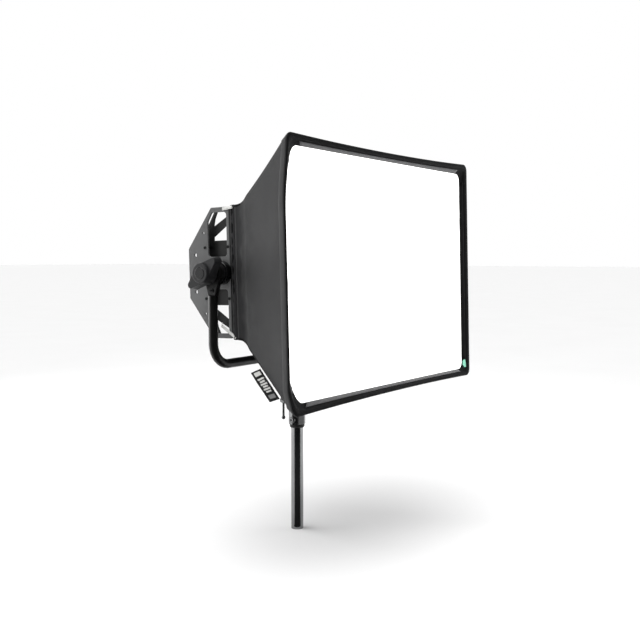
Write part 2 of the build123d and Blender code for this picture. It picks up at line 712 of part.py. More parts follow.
with BuildPart() as rear_box:
    with BuildSketch(head_side(-BOX_HALF_WIDTH)):
        face_outline(box_profile(0))
    extrude(amount=2 * BOX_HALF_WIDTH)
    with BuildSketch(head_side(-BOX_HALF_WIDTH + BOX_WALL)):
        face_outline(box_profile(BOX_WALL))
    extrude(amount=2 * (BOX_HALF_WIDTH - BOX_WALL), mode=Mode.SUBTRACT)
pieces["rear_box"] = rear_box

with BuildPart() as power_supply:
    with BuildSketch(head_back(BOX_Y[0] + 4.0)):
        with Locations((SUPPLY_X, 0)):
            Rectangle(*SUPPLY_SIZE[:2])
    extrude(amount=SUPPLY_SIZE[2])
pieces["power_supply"] = power_supply

with BuildPart() as driver_board:
    with BuildSketch(head_back(BOX_Y[0] + 6.0)):
        with Locations((DRIVER_X, 0)):
            Rectangle(*DRIVER_SIZE[:2])
    extrude(amount=DRIVER_SIZE[2])
    with BuildSketch(head_back(BOX_Y[0] + 6.0 + DRIVER_SIZE[2])):
        with Locations((DRIVER_X, 0)):
            with GridLocations(48.0, 34.0, 5, 2):
                Rectangle(*DRIVER_PART_SIZE[:2])
    extrude(amount=DRIVER_PART_SIZE[2])
pieces["driver_board"] = driver_board

PANEL_FRONT_Y = BACK_Y + CONTROL_PANEL_THICK
with BuildPart() as control_panel:
    with BuildSketch(head_back(BACK_Y)):
        RectangleRounded(*CONTROL_PANEL_SIZE, 6.0)
        with Locations((0, DISPLAY_Z)):
            Rectangle(*DISPLAY_SIZE, mode=Mode.SUBTRACT)
        with Locations(*[(x, ENCODER_Z) for x in ENCODER_X]):
            Circle(ENCODER_SHAFT_R + SHAFT_GAP, mode=Mode.SUBTRACT)
        with Locations(*[(x, BUTTON_Z) for x in BUTTON_X]):
            Circle(BUTTON_R + RUN, mode=Mode.SUBTRACT)
    extrude(amount=CONTROL_PANEL_THICK)
pieces["control_panel"] = control_panel

with BuildPart() as display_window:
    with BuildSketch(head_back(BACK_Y)):
        with Locations((0, DISPLAY_Z)):
            Rectangle(*DISPLAY_SIZE)
    extrude(amount=CONTROL_PANEL_THICK - 0.4)
pieces["display_window"] = display_window


def make_encoder(x):
    """Fluted knob on a shaft that turns in the control panel."""
    with BuildPart() as encoder:
        with BuildSketch(head_back(BACK_Y + RUN)):
            with Locations((x, ENCODER_Z)):
                Circle(ENCODER_SHAFT_R)
        extrude(amount=CONTROL_PANEL_THICK)
        with BuildSketch(head_back(PANEL_FRONT_Y + RUN)):
            with Locations((x, ENCODER_Z)):
                Circle(ENCODER_KNOB_R)
        extrude(amount=ENCODER_KNOB_HEIGHT)
        fillet(encoder.edges().filter_by(GeomType.CIRCLE).group_by(Axis.Y)[-1], 1.2)
        with BuildSketch(head_back(PANEL_FRONT_Y + RUN)):
            with Locations((x, ENCODER_Z)):
                with PolarLocations(ENCODER_KNOB_R + 0.4, 16):
                    Circle(ENCODER_FLUTE_R)
        extrude(amount=ENCODER_KNOB_HEIGHT + 2.0, mode=Mode.SUBTRACT)
    return encoder


def make_button(x):
    """Round push-button that travels into the control panel."""
    with BuildPart() as button:
        with BuildSketch(head_back(BACK_Y + 1.3)):
            with Locations((x, BUTTON_Z)):
                Circle(BUTTON_R)
        extrude(amount=2.7)
    return button


for number, x in enumerate(ENCODER_X, 1):
    pieces[f"encoder_knob_{number}"] = make_encoder(x)
for number, x in enumerate(BUTTON_X, 1):
    pieces[f"push_button_{number}"] = make_button(x)

with BuildPart() as data_sockets:
    for x in DATA_SOCKET_X:
        with BuildSketch(head_back(BACK_Y)):
            with Locations((x, 0)):
                RectangleRounded(28.0, 34.0, 3.0)
        extrude(amount=SOCKET_FLANGE_THICK)
        with BuildSketch(head_back(BACK_Y + SOCKET_FLANGE_THICK)):
            with Locations((x, 0)):
                Circle(DATA_SHELL_R[0])
                Circle(DATA_SHELL_R[1], mode=Mode.SUBTRACT)
        extrude(amount=DATA_SHELL_HEIGHT)
        with BuildSketch(head_back(BACK_Y + SOCKET_FLANGE_THICK)):
            with Locations((x, 0)):
                with PolarLocations(5.0, 5):
                    Circle(1.1)
        extrude(amount=-CONTACT_DEPTH, mode=Mode.SUBTRACT)
pieces["data_sockets"] = data_sockets

with BuildPart() as power_inlet:
    with BuildSketch(head_back(BACK_Y)):
        with Locations((INLET_X, 0)):
            RectangleRounded(34.0, 40.0, 3.0)
    extrude(amount=SOCKET_FLANGE_THICK)
    with BuildSketch(head_back(BACK_Y + SOCKET_FLANGE_THICK)):
        with Locations((INLET_X, 0)):
            Circle(INLET_SHELL_R[0])
            Circle(INLET_SHELL_R[1], mode=Mode.SUBTRACT)
    extrude(amount=INLET_SHELL_HEIGHT)
    with BuildSketch(head_back(BACK_Y + SOCKET_FLANGE_THICK)):
        with Locations((INLET_X, 0)):
            with PolarLocations(7.0, 3, 90.0):
                Rectangle(4.5, 1.8)
    extrude(amount=-CONTACT_DEPTH, mode=Mode.SUBTRACT)
pieces["power_inlet"] = power_inlet


# ---- light head: power switch ------------------------------------------------------------
ROCKER_AXIS_Y = BACK_Y + 3.4
with BuildPart() as switch_frame:
    with BuildSketch(head_back(BACK_Y)):
        with Locations((SWITCH_X, 0)):
            RectangleRounded(26.0, 34.0, 2.0)
            Rectangle(2 * ROCKER_HALF_WIDTH + 1.0, 26.0, mode=Mode.SUBTRACT)
    extrude(amount=6.0)
    with BuildSketch(head_side(-SWITCH_X - ROCKER_HALF_WIDTH - 2.0)):
        with Locations((ROCKER_AXIS_Y, 0)):
            Circle(TRUNNION_R + SHAFT_GAP)
    extrude(amount=2 * ROCKER_HALF_WIDTH + 4.0, mode=Mode.SUBTRACT)
pieces["switch_frame"] = switch_frame

rocker_plane = on_head(Plane(origin=(-SWITCH_X, ROCKER_AXIS_Y, 0), x_dir=(0, 1, 0), z_dir=(1, 0, 0)))
with BuildPart() as power_rocker:
    with BuildSketch(rocker_plane.offset(-ROCKER_HALF_WIDTH)):
        face_outline(
            [
                (-1.8, -8.0),
                (-1.8, 8.0),
                (1.0, 12.0),
                (4.8, 12.0),
                (2.8, 0.0),
                (4.8, -12.0),
                (1.0, -12.0),
            ],
            rotation=ROCKER_TILT,
        )
    extrude(amount=2 * ROCKER_HALF_WIDTH)
    with BuildSketch(rocker_plane.offset(-ROCKER_HALF_WIDTH - 1.6)):
        Circle(TRUNNION_R)
    extrude(amount=2 * ROCKER_HALF_WIDTH + 3.2)
pieces["power_rocker"] = power_rocker

HOOK_STRIP_Y = -45.0
with BuildPart() as hook_strips:
    for edge in (-1, 1):
        with BuildSketch(on_head(Plane.XY.offset(edge * HOUSING_HALF[1]))):
            with Locations((0, HOOK_STRIP_Y)):
                Rectangle(540.0, 20.0)
        extrude(amount=edge * 1.0)
        with BuildSketch(head_side(edge * HOUSING_HALF[0])):
            with Locations((HOOK_STRIP_Y, 0)):
                Rectangle(20.0, 250.0)
        extrude(amount=edge * 1.0)
pieces["hook_strips"] = hook_strips


# ---- softbox -----------------------------------------------------------------------------
with BuildPart() as sleeve:
    for sign in (-1, 1):
        with BuildSketch(head_front(SLEEVE_Y[1])):
            with Locations((0, sign * (SLEEVE_IN[1] + SLEEVE_WALL / 2))):
                Rectangle(2 * SLEEVE_OUT[0], SLEEVE_WALL)
            with Locations((sign * (SLEEVE_IN[0] + SLEEVE_WALL / 2), 0)):
                Rectangle(SLEEVE_WALL, 2 * SLEEVE_IN[1])
        extrude(amount=SLEEVE_Y[1] - SLEEVE_Y[0])
pieces["sleeve"] = sleeve


def make_fabric_panel(edge):
    """One flared fabric wall, from the sleeve to the back of the hem."""
    with BuildPart() as panel:
        for y in (SLEEVE_Y[0], HEM_Y + HEM_R + 0.2):
            half_width, half_height, drop = softbox_half(y)
            with BuildSketch(head_front(y)):
                if edge in SIDES:
                    with Locations((SIDES[edge] * (half_width - PANEL_THICK / 2), -drop)):
                        Rectangle(PANEL_THICK, 2 * (half_height - PANEL_THICK))
                else:
                    sign = 1 if edge == "top" else -1
                    with Locations((0, sign * (half_height - PANEL_THICK / 2) - drop)):
                        Rectangle(2 * half_width, PANEL_THICK)
        loft()
    return panel


for edge in ("top", "bottom", "left", "right"):
    pieces[f"panel_{edge}"] = make_fabric_panel(edge)


def make_hem_tube(tube_radius):
    """Round tube along the softbox's front rectangle, with rounded corners."""
    half_width = FRONT_SIZE[0] / 2 - HEM_R
    half_height = FRONT_SIZE[1] / 2 - HEM_R
    with BuildPart() as tube:
        with BuildLine(head_front(HEM_Y)) as path:
            FilletPolyline(
                (-half_width, -half_height - FRONT_DROP),
                (half_width, -half_height - FRONT_DROP),
                (half_width, half_height - FRONT_DROP),
                (-half_width, half_height - FRONT_DROP),
                radius=HEM_CORNER_R,
                close=True,
            )
        loop = path.wire()
        with BuildSketch(Plane(origin=loop @ 0, z_dir=loop % 0)):
            Circle(tube_radius)
        sweep(path=loop)
    return tube


hem_core = make_hem_tube(HEM_R)
hem_bore = make_hem_tube(HOOP_R + 0.3)
with BuildPart() as front_hem:
    add(hem_core)
    add(hem_bore, mode=Mode.SUBTRACT)
pieces["front_hem"] = front_hem
pieces["front_hoop"] = make_hem_tube(HOOP_R)

diffuser_half_width, diffuser_half_height, diffuser_drop = softbox_half(DIFFUSER_Y + DIFFUSER_THICK)
DIFFUSER_HALF = (
    diffuser_half_width - PANEL_THICK - 1.5,
    diffuser_half_height - PANEL_THICK - 1.5,
)
with BuildPart() as diffuser:
    with BuildSketch(head_front(DIFFUSER_Y)):
        with Locations((0, -diffuser_drop)):
            Rectangle(2 * DIFFUSER_HALF[0], 2 * DIFFUSER_HALF[1])
    extrude(amount=-DIFFUSER_THICK)
pieces["diffuser"] = diffuser


def rib_end(x_sign, z_sign, y):
    """Point on a corner rib's centre line at y, in the head's frame."""
    half_width, half_height, drop = softbox_half(y)
    return Vector(x_sign * (half_width - RIB_INSET), y, z_sign * (half_height - RIB_INSET) - drop)


with BuildPart() as corner_ribs:
    for x_sign in (-1, 1):
        for z_sign in (-1, 1):
            back_end = rib_end(x_sign, z_sign, HOUSING_Y[0] - 3.0)
            front_end = rib_end(x_sign, z_sign, DIFFUSER_Y + 5.0)
            rib = front_end - back_end
            with BuildSketch(on_head(Plane(origin=back_end, z_dir=rib.normalized()))):
                Circle(RIB_R)
            extrude(amount=rib.length)
pieces["corner_ribs"] = corner_ribs

# woven flag sewn into the lower left corner seam, in the plane of the left panel
back_half = softbox_half(SLEEVE_Y[0])
front_half = softbox_half(HEM_Y)
seam_back = Vector(-back_half[0], SLEEVE_Y[0], -back_half[1])
seam_front = Vector(-front_half[0], HEM_Y, -front_half[1] - front_half[2])
seam = seam_front - seam_back
seam_normal = seam.cross(Vector(-1, 0, 0)).normalized()  # downwards from the bottom panel
flag_normal = seam_normal.rotate(Axis((0, 0, 0), seam), FLAG_TURN)
flag_at = seam_back + seam * (FLAG_ALONG + FLAG_SIZE[0] / 2 / seam.length)
with BuildPart() as seam_flag:
    with BuildSketch(on_head(Plane(origin=flag_at, x_dir=seam.normalized(), z_dir=flag_normal))):
        with Locations((0, FLAG_SIZE[1] / 2 + FLAG_GAP)):
            Rectangle(*FLAG_SIZE)
    extrude(amount=FLAG_THICK)
pieces["seam_flag"] = seam_flag

# ribbon at the diffuser's lower right corner, which it is pulled out by
tab_at = Vector(DIFFUSER_HALF[0] - 16.0, DIFFUSER_Y - 1.0, -DIFFUSER_HALF[1] - diffuser_drop + 26.0)
tab_across = Vector(1, 0, 0).rotate(Axis.Z, -TAB_TURN)
tab_normal = tab_across.cross(Vector(0, 0, 1))
with BuildPart() as pull_tab:
    with BuildSketch(on_head(Plane(origin=tab_at, x_dir=tab_across, z_dir=tab_normal))):
        with Locations((TAB_SIZE[0] / 2, 0)):
            Rectangle(*TAB_SIZE)
    extrude(amount=TAB_THICK)
pieces["pull_tab"] = pull_tab


# ---- export ------------------------------------------------------------------------------
os.makedirs("parts", exist_ok=True)
for name, piece in pieces.items():
    piece.part.label = name
    export_step(piece.part, f"parts/{name}.step")
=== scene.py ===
"""Looks of a fabric softbox on a panel light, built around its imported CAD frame, in metres."""

import json
from math import cos, pi, radians, sin, sqrt

import bpy
import numpy as np
from mathutils import Matrix, Vector, noise


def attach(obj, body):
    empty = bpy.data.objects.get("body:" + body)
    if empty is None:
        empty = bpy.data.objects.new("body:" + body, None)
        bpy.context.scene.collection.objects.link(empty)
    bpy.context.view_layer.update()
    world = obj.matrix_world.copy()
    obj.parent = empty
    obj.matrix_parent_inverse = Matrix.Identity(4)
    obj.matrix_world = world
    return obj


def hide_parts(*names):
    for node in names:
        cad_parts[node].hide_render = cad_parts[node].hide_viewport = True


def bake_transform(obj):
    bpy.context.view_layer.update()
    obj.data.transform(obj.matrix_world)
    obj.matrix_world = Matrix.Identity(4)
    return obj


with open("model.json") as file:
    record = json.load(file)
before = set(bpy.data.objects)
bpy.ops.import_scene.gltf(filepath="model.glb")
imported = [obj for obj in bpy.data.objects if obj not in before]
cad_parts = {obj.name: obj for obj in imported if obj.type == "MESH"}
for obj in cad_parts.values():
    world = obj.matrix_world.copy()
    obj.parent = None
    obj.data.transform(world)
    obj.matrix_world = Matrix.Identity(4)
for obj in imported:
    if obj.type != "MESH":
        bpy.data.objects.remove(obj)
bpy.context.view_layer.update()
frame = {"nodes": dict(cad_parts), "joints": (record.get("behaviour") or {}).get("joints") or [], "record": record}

MM = 0.001
NODES = frame["nodes"]
JOINTS = {joint["name"]: joint for joint in frame["joints"]}


# ---- the tilted head's own frame ----
TILT_AXIS = Vector(JOINTS["tilt"]["pos_m"])
FORWARD = Vector(JOINTS["softbox_slide"]["axis"]).normalized()
HEAD_X = Vector((1, 0, 0))
HEAD_Z = HEAD_X.cross(-FORWARD)
HEAD = Matrix((HEAD_X, -FORWARD, HEAD_Z)).transposed().to_4x4()
HEAD.translation = TILT_AXIS
HEAD_ARRAY = np.array(HEAD)


def head_points(node):
    """The vertices of a CAD node in the head's own frame."""
    mesh = NODES[node].data
    points = np.empty(len(mesh.vertices) * 3)
    mesh.vertices.foreach_get("co", points)
    return (points.reshape(-1, 3) - HEAD_ARRAY[:3, 3]) @ HEAD_ARRAY[:3, :3]


def head_box(node):
    """Lowest and highest corner of a CAD node in the head's own frame."""
    points = head_points(node)
    return points.min(0), points.max(0)


def ways_from_head(ways):
    """Directions of the head's own frame, in the part's frame."""
    return np.asarray(ways) @ HEAD_ARRAY[:3, :3].T


def from_head(points):
    """Points of the head's own frame, as an array of any shape ending in 3, in the part's frame."""
    return ways_from_head(points) + HEAD_ARRAY[:3, 3]


# ---- node graphs ----
WEAR_RADIUS = 1.2 * MM
WEAR_FACING = (0.85, 0.995)  # true normal times rounded normal, on a worn edge and on an open face
THREAD_UNEVENNESS = 0.4
MATERIALS = {}  # every material made below, by its name


class Shader:
    """A Principled material whose inputs are driven by procedural textures in object space."""

    def __init__(self, name, **constants):
        self.material = MATERIALS[name] = bpy.data.materials.new(name)
        self.material.use_nodes = True
        self.nodes = self.material.node_tree.nodes
        self.links = self.material.node_tree.links
        self.surface = self.nodes["Principled BSDF"]
        self.coords = self.nodes.new("ShaderNodeTexCoord")
        for socket, value in constants.items():
            self.surface.inputs[socket.replace("_", " ")].default_value = value

    def node(self, kind, inputs=None, **settings):
        made = self.nodes.new(kind)
        for key, value in settings.items():
            setattr(made, key, value)
        for key, value in (inputs or {}).items():
            if isinstance(value, bpy.types.NodeSocket):
                self.links.new(value, made.inputs[key])
            else:
                made.inputs[key].default_value = value
        return made

    def stretched(self, scale, source="Object"):
        """Coordinates in metres, multiplied along each axis."""
        inputs = {"Vector": self.coords.outputs[source], "Scale": scale}
        return self.node("ShaderNodeMapping", inputs).outputs["Vector"]

    def noise(self, scale, detail=4.0, roughness=0.5, vector=None):
        inputs = {"Scale": scale, "Detail": detail, "Roughness": roughness}
        inputs["Vector"] = vector or self.coords.outputs["Object"]
        return self.node("ShaderNodeTexNoise", inputs).outputs["Fac"]

    def cells(self, scale):
        inputs = {"Vector": self.coords.outputs["Object"], "Scale": scale}
        return self.node("ShaderNodeTexVoronoi", inputs).outputs["Distance"]

    def weave(self, rate, source):
        """Two crossed sets of threads, which repeat about every 0.31 m / rate."""
        inputs = {"Vector": self.coords.outputs[source], "Scale": rate}
        inputs["Distortion"] = THREAD_UNEVENNESS
        waves = [self.node("ShaderNodeTexWave", inputs, bands_direction=way) for way in "XY"]
        return self.math("MAXIMUM", *(wave.outputs["Fac"] for wave in waves))

    def math(self, operation, first, second):
        made = self.node("ShaderNodeMath", {0: first, 1: second}, operation=operation)
        return made.outputs["Value"]

    def spread(self, value, low, high, start=0.3, end=0.7):
        """A texture value mapped from start..end to low..high."""
        inputs = {"Value": value, "From Min": start, "From Max": end, "To Min": low, "To Max": high}
        return self.node("ShaderNodeMapRange", inputs).outputs["Result"]

    def ramp(self, value, stops):
        made = self.node("ShaderNodeValToRGB", {"Fac": value})
        for element, (position, colour) in zip(made.color_ramp.elements, stops):
            element.position = position
            element.color = (*colour, 1.0)
        return made.outputs["Color"]

    def bump(self, height, distance, strength, below=None):
        inputs = {"Height": height, "Distance": distance, "Strength": strength}
        if below:
            inputs["Normal"] = below
        return self.node("ShaderNodeBump", inputs).outputs["Normal"]

    def edge_wear(self):
        """About 1 on sharp outer edges and 0 on open faces, from a rounded copy of the normal."""
        rounded = self.node("ShaderNodeBevel", {"Radius": WEAR_RADIUS}, samples=4).outputs["Normal"]
        true = self.node("ShaderNodeNewGeometry").outputs["Normal"]
        facing = self.node("ShaderNodeVectorMath", {0: rounded, 1: true}, operation="DOT_PRODUCT")
        return self.spread(facing.outputs["Value"], 1.0, 0.0, *WEAR_FACING)

    def mix(self, factor, first, second, blend="MIX"):
        """Two colours mixed, each a socket or a constant."""
        made = self.node("ShaderNodeMix", {"Factor": factor}, data_type="RGBA", blend_type=blend)
        for socket, value in ((made.inputs[6], first), (made.inputs[7], second)):
            if isinstance(value, bpy.types.NodeSocket):
                self.links.new(value, socket)
            else:
                socket.default_value = (*value, 1.0)
        return made.outputs[2]

    def colour(self, output):
        self.links.new(output, self.surface.inputs["Base Color"])

    def rough(self, output):
        self.links.new(output, self.surface.inputs["Roughness"])

    def normal(self, output):
        self.links.new(output, self.surface.inputs["Normal"])


def grey(level, tint=0.01):
    """A near-neutral linear colour, a little blue for a positive tint."""
    return (level * (1 - tint), level, level * (1 + tint))


def painted(name, level, rough, grain, depth, wear):
    """Powder coat: a fine orange-peel grain, faint mottling, and edges rubbed a little brighter."""
    shader = Shader(name, Specular_IOR_Level=0.3)
    mottle = shader.noise(14.0, 3.0)
    base = shader.ramp(mottle, [(0.3, grey(level * 0.88)), (0.7, grey(level * 1.12))])
    rubbed = grey(min(level * 2.0 + 0.03, 0.6))
    patches = shader.spread(shader.noise(60.0), 0.2, wear)
    shader.colour(shader.mix(shader.math("MULTIPLY", shader.edge_wear(), patches), base, rubbed))
    shader.rough(shader.spread(shader.noise(35.0), rough - 0.06, rough + 0.08))
    shader.normal(shader.bump(shader.noise(grain, 2.0), depth, 0.5))
    return shader.material


def metal(name, level, rough, brushed=(1.0, 1.0, 40.0), scale=60.0, depth=0.000015):
    """Bare metal with fine tool marks drawn out along one axis, and uneven polish."""
    shader = Shader(name, Metallic=1.0)
    marks = shader.noise(scale, 6.0, 0.6, shader.stretched(brushed))
    haze = shader.noise(9.0, 3.0)
    shader.colour(shader.ramp(haze, [(0.25, grey(level * 0.85)), (0.75, grey(level))]))
    shader.rough(shader.spread(marks, rough * 0.7, rough * 1.4))
    shader.normal(shader.bump(marks, depth, 0.4))
    return shader.material


def chrome():
    """Chrome plate made dark as painted shade, standing in for the dark surroundings it reflects, with faint
    drawing marks along the tube.
    """
    shader = Shader("chrome_tube", Metallic=1.0)
    marks = shader.noise(500.0, 4.0, 0.6, shader.stretched((1.0, 1.0, 0.02)))
    shader.colour(shader.ramp(shader.noise(18.0), [(0.3, grey(0.22)), (0.7, grey(0.27))]))
    shader.rough(shader.spread(marks, 0.13, 0.2))
    shader.normal(shader.bump(marks, 0.00001, 0.3))
    return shader.material


def moulded(name, colour, rough, grain=1400.0, depth=0.00003, coat=0.0, specular=0.3):
    """Moulded plastic or rubber: spark-eroded grain, slight changes of sheen and of tone."""
    shader = Shader(name, Coat_Weight=coat, Coat_Roughness=0.08, Specular_IOR_Level=specular)
    pale = tuple(min(1.0, channel * 1.25 + 0.004) for channel in colour)
    dark = tuple(channel * 0.85 for channel in colour)
    shader.colour(shader.ramp(shader.noise(22.0), [(0.3, dark), (0.72, pale)]))
    shader.rough(shader.spread(shader.noise(48.0), rough - 0.05, rough + 0.08))
    shader.normal(shader.bump(shader.cells(grain), depth, 0.4))
    return shader.material


def woven(name, colour, thread=0.7, depth=0.25, rough=0.75, sheen=0.3, source="UV", specular=0.2):
    """Plain-weave cloth with slubs and rubbed patches; thread and depth are in mm."""
    shader = Shader(name, Sheen_Weight=sheen, Sheen_Roughness=0.4, Specular_IOR_Level=specular)
    weave = shader.weave(0.5 / (thread * MM), source)
    slub = shader.noise(260.0, 3.0, vector=shader.stretched((0.12, 1.0, 1.0), source))
    cloud = shader.noise(6.0, 5.0, 0.55)
    low, high = (tuple(channel * share for channel in colour) for share in (0.82, 1.18))
    base = shader.ramp(cloud, [(0.25, low), (0.75, high)])
    threads = shader.ramp(slub, [(0.2, (0.78, 0.78, 0.78)), (0.8, (1.0, 1.0, 1.0))])
    shader.colour(shader.mix(1.0, base, threads, "MULTIPLY"))
    shader.rough(shader.spread(cloud, rough - 0.06, rough + 0.1))
    coarse = shader.bump(shader.noise(38.0), 0.0006, 0.35)
    shader.normal(shader.bump(weave, depth * MM, 0.35, coarse))
    return shader.material


def diffusion():
    """White diffusion cloth with a fine weave, lit evenly from behind."""
    shader = Shader("white_diffusion", Roughness=0.8, Sheen_Weight=0.2, Emission_Strength=1.6)
    cloud = shader.noise(3.0, 3.0)
    shader.colour(shader.ramp(cloud, [(0.2, (0.86, 0.86, 0.85)), (0.8, (0.94, 0.94, 0.93))]))
    glow = shader.ramp(cloud, [(0.2, (0.95, 0.95, 0.94)), (0.8, (1.0, 1.0, 0.99))])
    shader.links.new(glow, shader.surface.inputs["Emission Color"])
    shader.normal(shader.bump(shader.weave(900.0, "UV"), 0.0001, 0.3))
    return shader.material


# ---- materials by slot ----
EVEN = (1.0, 1.0, 1.0)
chrome()
moulded("black_rubber", (0.012, 0.012, 0.012), 0.62, 700.0)
metal("zinc_casting", 0.17, 0.3, EVEN, 240.0, depth=0.00005)
metal("steel", 0.22, 0.22, (30.0, 1.0, 30.0), 50.0)
painted("black_powder_coat", 0.005, 0.34, 700.0, 0.00005, 0.2)
metal("black_steel", 0.03, 0.32, EVEN, 300.0)
moulded("black_plastic", (0.007, 0.007, 0.0075), 0.5)
moulded("knob_plastic", (0.014, 0.014, 0.015), 0.42, 1100.0, 0.00005)
moulded("cap_plastic", (0.006, 0.006, 0.0065), 0.2, 2000.0, 0.00001, coat=0.5)
painted("grey_plate", 0.105, 0.42, 1000.0, 0.00004, 0.1)
painted("black_frame", 0.005, 0.42, 900.0, 0.00004, 0.12)
moulded("black_disc", (0.003, 0.003, 0.0035), 0.16, 2000.0, 0.00001, coat=0.6, specular=0.2)
metal("black_anodised", 0.03, 0.36, (40.0, 1.0, 1.0), 60.0)
moulded("lens_acrylic", (0.75, 0.75, 0.73), 0.3, 900.0, 0.00004)
moulded("board_white", (0.6, 0.6, 0.58), 0.4)
moulded("led_phosphor", (0.8, 0.6, 0.12), 0.35)
metal("supply_case", 0.5, 0.35)
moulded("board_green", (0.01, 0.11, 0.04), 0.35)
moulded("display_glass", (0.01, 0.016, 0.03), 0.1, 3000.0, 0.000004, coat=1.0)
metal("socket_metal", 0.4, 0.25, (1.0, 30.0, 1.0), 120.0)
moulded("socket_blue", (0.012, 0.06, 0.3), 0.35)
moulded("rocker_plastic", (0.012, 0.012, 0.013), 0.22, 2000.0, 0.00001, coat=0.4)
moulded("knob_rubber", (0.02, 0.02, 0.02), 0.6, 800.0, 0.00006)
moulded("button_rubber", (0.1, 0.1, 0.105), 0.55, 900.0, 0.00004)
woven("hook_tape", (0.009, 0.009, 0.009), 0.9, 0.4, 0.85, 0.05, source="Object")
woven("black_fabric", (0.019, 0.019, 0.020), sheen=0.12)
woven("black_binding", (0.005, 0.005, 0.0055), 0.9, 0.3, 0.7, 0.02, specular=0.08)
metal("hoop_steel", 0.35, 0.3)
# band cloth: the walls' black cloth made lighter, as painted light on the raised front band
woven("band_fabric", (0.030, 0.030, 0.031), sheen=0.14)
# loop tape: its pale grey is painted light, the diffuser's glow on the lip
woven("loop_tape", (0.10, 0.10, 0.104), 1.1, 0.5, 0.85, 0.4)
diffusion()
moulded("rib_fibreglass", (0.04, 0.04, 0.04), 0.3)
woven("woven_flag", (0.008, 0.008, 0.008), 0.6, 0.2, 0.7, 0.1)
woven("green_tab", (0.36, 0.92, 0.68), 0.6, 0.2, 0.6, 0.4)

THREAD = moulded("sewing_thread", (0.012, 0.012, 0.012), 0.5, 3000.0)
PALE_THREAD = woven("pale_thread", (0.62, 0.62, 0.60), 0.5, 0.2, 0.6, 0.3)
GREY_THREAD = woven("grey_thread", (0.22, 0.22, 0.22), 0.5, 0.2, 0.6, 0.3)
ELASTIC = woven("white_elastic", (0.72, 0.72, 0.70), 0.9, 0.4, 0.7, 0.3)

for subpart in frame["record"]["subparts"]:
    cad_mesh = NODES[subpart["node"]].data
    cad_mesh.materials.clear()
    cad_mesh.materials.append(MATERIALS[subpart["material_slot"]])


# ---- mesh helpers ----
def add_object(name, vertices, faces, material):
    """A mesh object in the part's frame with one material."""
    mesh = bpy.data.meshes.new(name)
    mesh.from_pydata([tuple(v) for v in vertices], [], [tuple(f) for f in faces])
    mesh.materials.append(material)
    made = bpy.data.objects.new(name, mesh)
    bpy.context.scene.collection.objects.link(made)
    return made


def mesh_piece(name, vertices, faces, material, body, uvs=None):
    """A smooth piece of the visual model, riding on a body unless that is None."""
    piece = add_object(name, vertices, faces, material)
    mesh = piece.data
    if uvs is not None:
        layer = mesh.uv_layers.new(name="UVMap")
        loops = np.empty(len(mesh.loops), int)
        mesh.loops.foreach_get("vertex_index", loops)
        layer.data.foreach_set("uv", np.asarray(uvs)[loops].ravel())
    mesh.polygons.foreach_set("use_smooth", [True] * len(mesh.polygons))
    mesh.update()
    if body:
        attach(piece, body)
    return piece


def grid_faces(rows, columns, wrap_rows=False, wrap_columns=False):
    """Quads of a rows x columns grid of points."""
    faces = []
    for r in range(rows if wrap_rows else rows - 1):
        here, above = r * columns, (r + 1) % rows * columns
        for c in range(columns if wrap_columns else columns - 1):
            right = (c + 1) % columns
            faces.append((here + c, here + right, above + right, above + c))
    return faces


def thicken(piece, thickness, offset=-1.0):
    """Gives a single sheet its thickness, inwards from its outer face unless offset is 1."""
    solid = piece.modifiers.new("thickness", "SOLIDIFY")
    solid.thickness = thickness
    solid.offset = offset
    solid.use_even_offset = False


def run_along(points):
    """How far along a line of points each one is."""
    steps = np.linalg.norm(np.diff(points, axis=0), axis=1)
    return np.concatenate(([0.0], np.cumsum(steps)))


def skin(name, lines, material, body, closed_section, closed_lines):
    """Skin over lines of points, sections x points in the head's frame, with its UVs in metres."""
    lines = np.asarray(lines)
    sections, points = lines.shape[:2]
    along, girth = run_along(lines[0]), run_along(lines[:, 0])
    uvs = [(along[p], girth[s]) for s in range(sections) for p in range(points)]
    faces = grid_faces(sections, points, closed_section, closed_lines)
    return mesh_piece(name, from_head(lines.reshape(-1, 3)), faces, material, body, uvs)


def swept_loop(name, lines, material, closed_section=True):
    """Skin over closed loops of points on the softbox."""
    return skin(name, lines, material, "softbox", closed_section, True)


def strip(name, lines, material, thickness, body="softbox"):
    """Open strip of cloth, thickened inwards."""
    piece = skin(name, lines, material, body, False, False)
    thicken(piece, thickness)
    return piece


STITCH_PITCH = 4.5 * MM
STITCH_LENGTH = 3.2 * MM
THREAD_RADIUS = 0.35 * MM
THREAD_SIDES = 5
STITCH_CREST = 0.7  # how far a dash's middle stands out and its ends sink in, by the thread's radius
STITCH_SINK = 0.4
STITCH_SHOULDER = 0.3  # where its outer rings are, as a share of the way from an end to the middle


